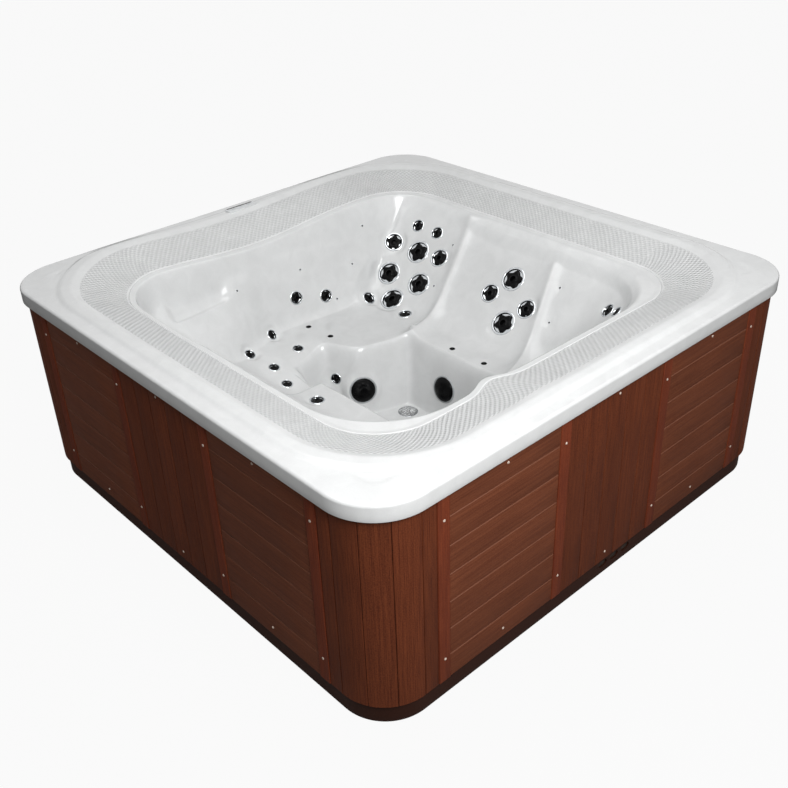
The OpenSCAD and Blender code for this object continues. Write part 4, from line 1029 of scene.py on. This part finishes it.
# the skirt: boards in rows on each side, staves round each corner, stiles over the joints;
# widths and levels of boards, their grooves, and where they stand along a side
SKIRT_HALF, SKIRT_R, PANEL_T, PANEL_LOW, PANEL_TOP = 1034.5, 175, 18, 75.3, 790
STILE_W, STILE_PROUD, STILES = 46, 2.5, (-779.7, -261, 261, 779.7)
UPRIGHT_W, CENTRE_HALF, CENTRE_GROOVES, CENTRE_GAP = 91, 236, (-141.6, -47.2, 47.2, 141.6), 1.6
LEVEL_L, LEVEL_W, LEVEL_AT, LEVEL_GAP = 468.7, 101, (-520.35, 520.35), 1.4
LEVEL_GROOVES = [168 + 103.7 * i for i in range(6)]
NARROW_W, NARROW_AT = 53, 831.7
STAVE_HALF, STAVES = 14.75, (-75, -45, -15)    # degrees
STILE_SCREWS, PANEL_SCREWS = (166.2, 685.8), (110.2, 745.7)


def lay_grain(piece, places):
    """the grain's own map, along the board and across it, from a place for each point"""
    grain = piece.data.uv_layers.new(name="grain")
    for loop in piece.data.loops:
        grain.data[loop.index].uv = places[loop.vertex_index]


def board(name, length, width, thickness, edge, bevel=0):
    """a board lying along X, its face up, with its long edges and ends eased, and its grain along
    it; a bevel eases the edge at +Y further and carries a painted highlight, a paler colour as if
    lit"""
    half = width / 2
    upper = max(edge, bevel)
    section = [(-half, -thickness), (half, -thickness), (half, -upper),
               (half - upper * 0.45, -upper * 0.45), (half - upper, 0), (half - upper - 0.6, 0),
               (edge - half, 0), (edge * 0.3 - half, -edge * 0.3), (-half, -edge)]
    end, end_ease = length / 2, edge * 0.4
    stations = [(-end, end_ease), (end_ease - end, 0), (-length / 6, 0), (length / 6, 0),
                (end - end_ease, 0), (end, end_ease)]
    points = [(x, y, min(z, -ease_in) if z > -thickness else z)
              for x, ease_in in stations for y, z in section]
    piece = make_piece(name, points, prism_faces(len(section), len(stations)))
    lay_grain(piece, [(x / 1000, (y - z) / 1000) for x, y, z in points])
    # the bevel's points are marked for the painted highlight along the eased upper edge
    if bevel:
        painted_edge_highlight = piece.data.attributes.new("painted_edge_highlight", "FLOAT", "POINT")
        for i in range(len(points)):
            painted_edge_highlight.data[i].value = float(i % len(section) in (2, 3, 4))
    piece.data.flip_normals()
    return piece


def stave(name, start, end, height, edge):
    """a stave bent round the corner from one angle to another, its grain upright"""
    angles = np.radians([start, *np.linspace(start + 0.5, end - 0.5, 9), end])
    radii = [SKIRT_R - edge] + [SKIRT_R] * 9 + [SKIRT_R - edge]
    section = list(zip(radii, angles)) + [(SKIRT_R - PANEL_T, a) for a in angles[::-1]]
    levels = [-height / 2, 0, height / 2]
    points = [(r * math.cos(a), r * math.sin(a), z) for z in levels for r, a in section]
    piece = make_piece(name, points, prism_faces(len(section), len(levels)))
    lay_grain(piece, [(z / 1000, a * SKIRT_R / 1000) for z in levels for r, a in section])
    return piece


def side_place(side, along, level, face, upright=False, size=(1, 1, 1)):
    """place on a side of the skirt, 1 at the front at -Y and 2 at +X: distance along it, level
    and distance out; a board is turned upright or lies level"""
    about = math.radians(90 * (side - 1))
    spin = Matrix.Rotation(about, 3, "Z")
    point = spin @ Vector((along, -face, level))
    stand = Matrix.Rotation(math.radians(90), 3, "X")
    if upright:
        stand = stand @ Matrix.Rotation(math.radians(90), 3, "Z")
    return tuple(point), tuple((spin @ stand).to_euler()), size


def grooved(low, high, grooves, gap):
    """middles and widths of the boards between the grooves"""
    edges = [low] + [g + d for g in grooves for d in (-gap / 2, gap / 2)] + [high]
    return [((a + b) / 2, b - a) for a, b in zip(edges[::2], edges[1::2])]


SIDES = range(1, 5)
panel_height, panel_middle = PANEL_TOP - PANEL_LOW, (PANEL_TOP + PANEL_LOW) / 2
upright_board = board("upright_board", panel_height, UPRIGHT_W, PANEL_T, edge=1.6)
level_board = board("level_board", LEVEL_L, LEVEL_W, PANEL_T, edge=1.6, bevel=2.6)
stile_board = board("stile_board", panel_height, STILE_W, PANEL_T + STILE_PROUD, edge=2.2)
stave_board = stave("stave_board", -STAVE_HALF, STAVE_HALF, panel_height, edge=1.2)
narrow_board = board("narrow_board", panel_height, NARROW_W, PANEL_T, edge=1.6)

for side in SIDES:
    places = [side_place(side, x, panel_middle, SKIRT_HALF, True, (1, w / UPRIGHT_W, 1))
              for x, w in grooved(-CENTRE_HALF, CENTRE_HALF, CENTRE_GROOVES, CENTRE_GAP)]
    piece = set_out("centre_boards_%d" % side, upright_board, places, upright_wood, seed=side)
    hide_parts("centre_panel_%d" % side)
    places = [side_place(side, x, z, SKIRT_HALF, False, (1, h / LEVEL_W, 1)) for x in LEVEL_AT
              for z, h in grooved(PANEL_LOW, PANEL_TOP, LEVEL_GROOVES, LEVEL_GAP)]
    piece = set_out("level_boards_%d" % side, level_board, places, level_wood, seed=10 + side)
    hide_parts("board_panels_%d" % side)
    corner = math.radians(90 * (side - 1))
    bend = SKIRT_HALF - SKIRT_R
    middle = tuple(Matrix.Rotation(corner, 3, "Z") @ Vector((bend, -bend, panel_middle)))
    staves = [(middle, (0, 0, corner + math.radians(a)), (1, 1, 1)) for a in STAVES]
    round_piece = set_out("corner_staves_%d" % side, stave_board, staves, upright_wood,
                          seed=20 + side)
    flats = [side_place(side, NARROW_AT, panel_middle, SKIRT_HALF, True),
             side_place(side % 4 + 1, -NARROW_AT, panel_middle, SKIRT_HALF, True)]
    flat_piece = set_out("corner_boards_%d" % side, narrow_board, flats, upright_wood,
                         seed=30 + side)
    for piece in (round_piece, flat_piece):
        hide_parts("corner_panel_%d" % side)
stiles = set_out("stile_boards", stile_board,
                 [side_place(side, x, panel_middle, SKIRT_HALF + STILE_PROUD, True)
                  for side in SIDES for x in STILES], stile_wood, seed=5)
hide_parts("stiles")
for piece in (upright_board, level_board, stile_board, stave_board, narrow_board):
    bpy.data.objects.remove(piece)

# screws through the stiles and the ends of the panels, with a cross recess
places = [side_place(side, x, z, SKIRT_HALF + STILE_PROUD) for side in SIDES
          for x in STILES for z in STILE_SCREWS]
places += [side_place(side, x, z, SKIRT_HALF) for side in SIDES
           for x in (LEVEL_AT[0], 0, LEVEL_AT[1]) for z in PANEL_SCREWS]
screws = turned_set("panel_screw_set", [
    (0, 0.9), (1.3, 1.2), (1.6, 2), (2.6, 2.2), (3.6, 1.7), (4.4, 0.8), (4.5, 0.1), (2, 0.1),
    (2, -39), (0, -39)], painted_screw, places, 24,
    lobes=4, drop=0.0008, lobes_from=0.0014, lobes_full=0.0017, lobes_fade=0.0026, lobes_end=0.003)
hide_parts("panel_screws")

# base pan with its three vent holes
PAN_HALF, PAN_R, PAN_H, PAN_WALL, PAN_FLOOR = 1024.1, 170, 75, 6, 8
VENTS, VENT_LEVEL, VENT_R, VENT_STRAIGHT = (12, 76, 140), 42, 13, 20
CUT_IN, CUT_OUT = 12, 5      # how far the cutter reaches from the pan's face
pan = lofted("pan", [(PAN_HALF - inset, PAN_HALF - inset, PAN_R - inset, z) for inset, z in [
    (30, 0), (2.5, 0), (0.6, 0.8), (0, 2.5), (0, 25), (0, 50), (0, 72.8), (0.5, 74.4), (2, PAN_H),
    (4, PAN_H), (5.5, 74.4), (PAN_WALL, 73), (PAN_WALL, PAN_FLOOR + 4),
    (PAN_WALL + 1.2, PAN_FLOOR + 1.2), (PAN_WALL + 4, PAN_FLOOR), (40, PAN_FLOOR)]],
    grained_abs, lines=360)
cut_prisms(pan, [slot_shape(x, VENT_LEVEL, VENT_R, VENT_STRAIGHT) for x in VENTS],
           lambda u, v, depth: (u, depth, v), CUT_IN - PAN_HALF, -CUT_OUT - PAN_HALF)
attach(pan, "tub")
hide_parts("base_pan")

# topside control: a pale plate with pockets for its three buttons and a dark display strip behind
PANEL_AT, DISPLAY_AT = (0, 970), (0, 983.3)
BUTTONS, POCKET_R, POCKET_LEVEL = (-38, 0, 38), 8.3, 838.4
plate = lofted("control_plate", [
    (57, 11, 1, 818.5), (59, 13, 2, 819.5), (59, 13, 2, 836), (72, 18, 7, 836.3),
    (74, 20, 9, 837.5), (74, 20, 9, 842.5), (73.6, 19.6, 8.6, 844), (72.4, 18.4, 7.4, 844.9),
    (71, 17, 6, 845)], white_abs, PANEL_AT)
cut_prisms(plate, [slot_shape(x, PANEL_AT[1], POCKET_R, 0) for x in BUTTONS],
           lambda u, v, depth: (u, v, depth), POCKET_LEVEL, 850)
strip = lofted("control_display", [
    (64, 3.2, 1.5, 844.5), (65, 4.2, 2.5, 844.5), (65, 4.2, 2.5, 845.3), (64.6, 3.8, 2.1, 845.7),
    (63.5, 2.7, 1, 845.8)], panel_gloss, DISPLAY_AT)
for piece in (plate, strip):
    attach(piece, "tub")
    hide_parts("control_panel")

# what stays as it was modelled, each with its own finish
finishes = {"frame": stained_pine, "pumps": motor_paint, "heater": stainless,
            "control_box": grey_abs, "manifold": pvc_pipe, "button_1": button_rubber,
            "button_2": button_rubber, "button_3": button_rubber}
for node, material in finishes.items():
    for material_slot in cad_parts[node].material_slots:
        material_slot.material = material
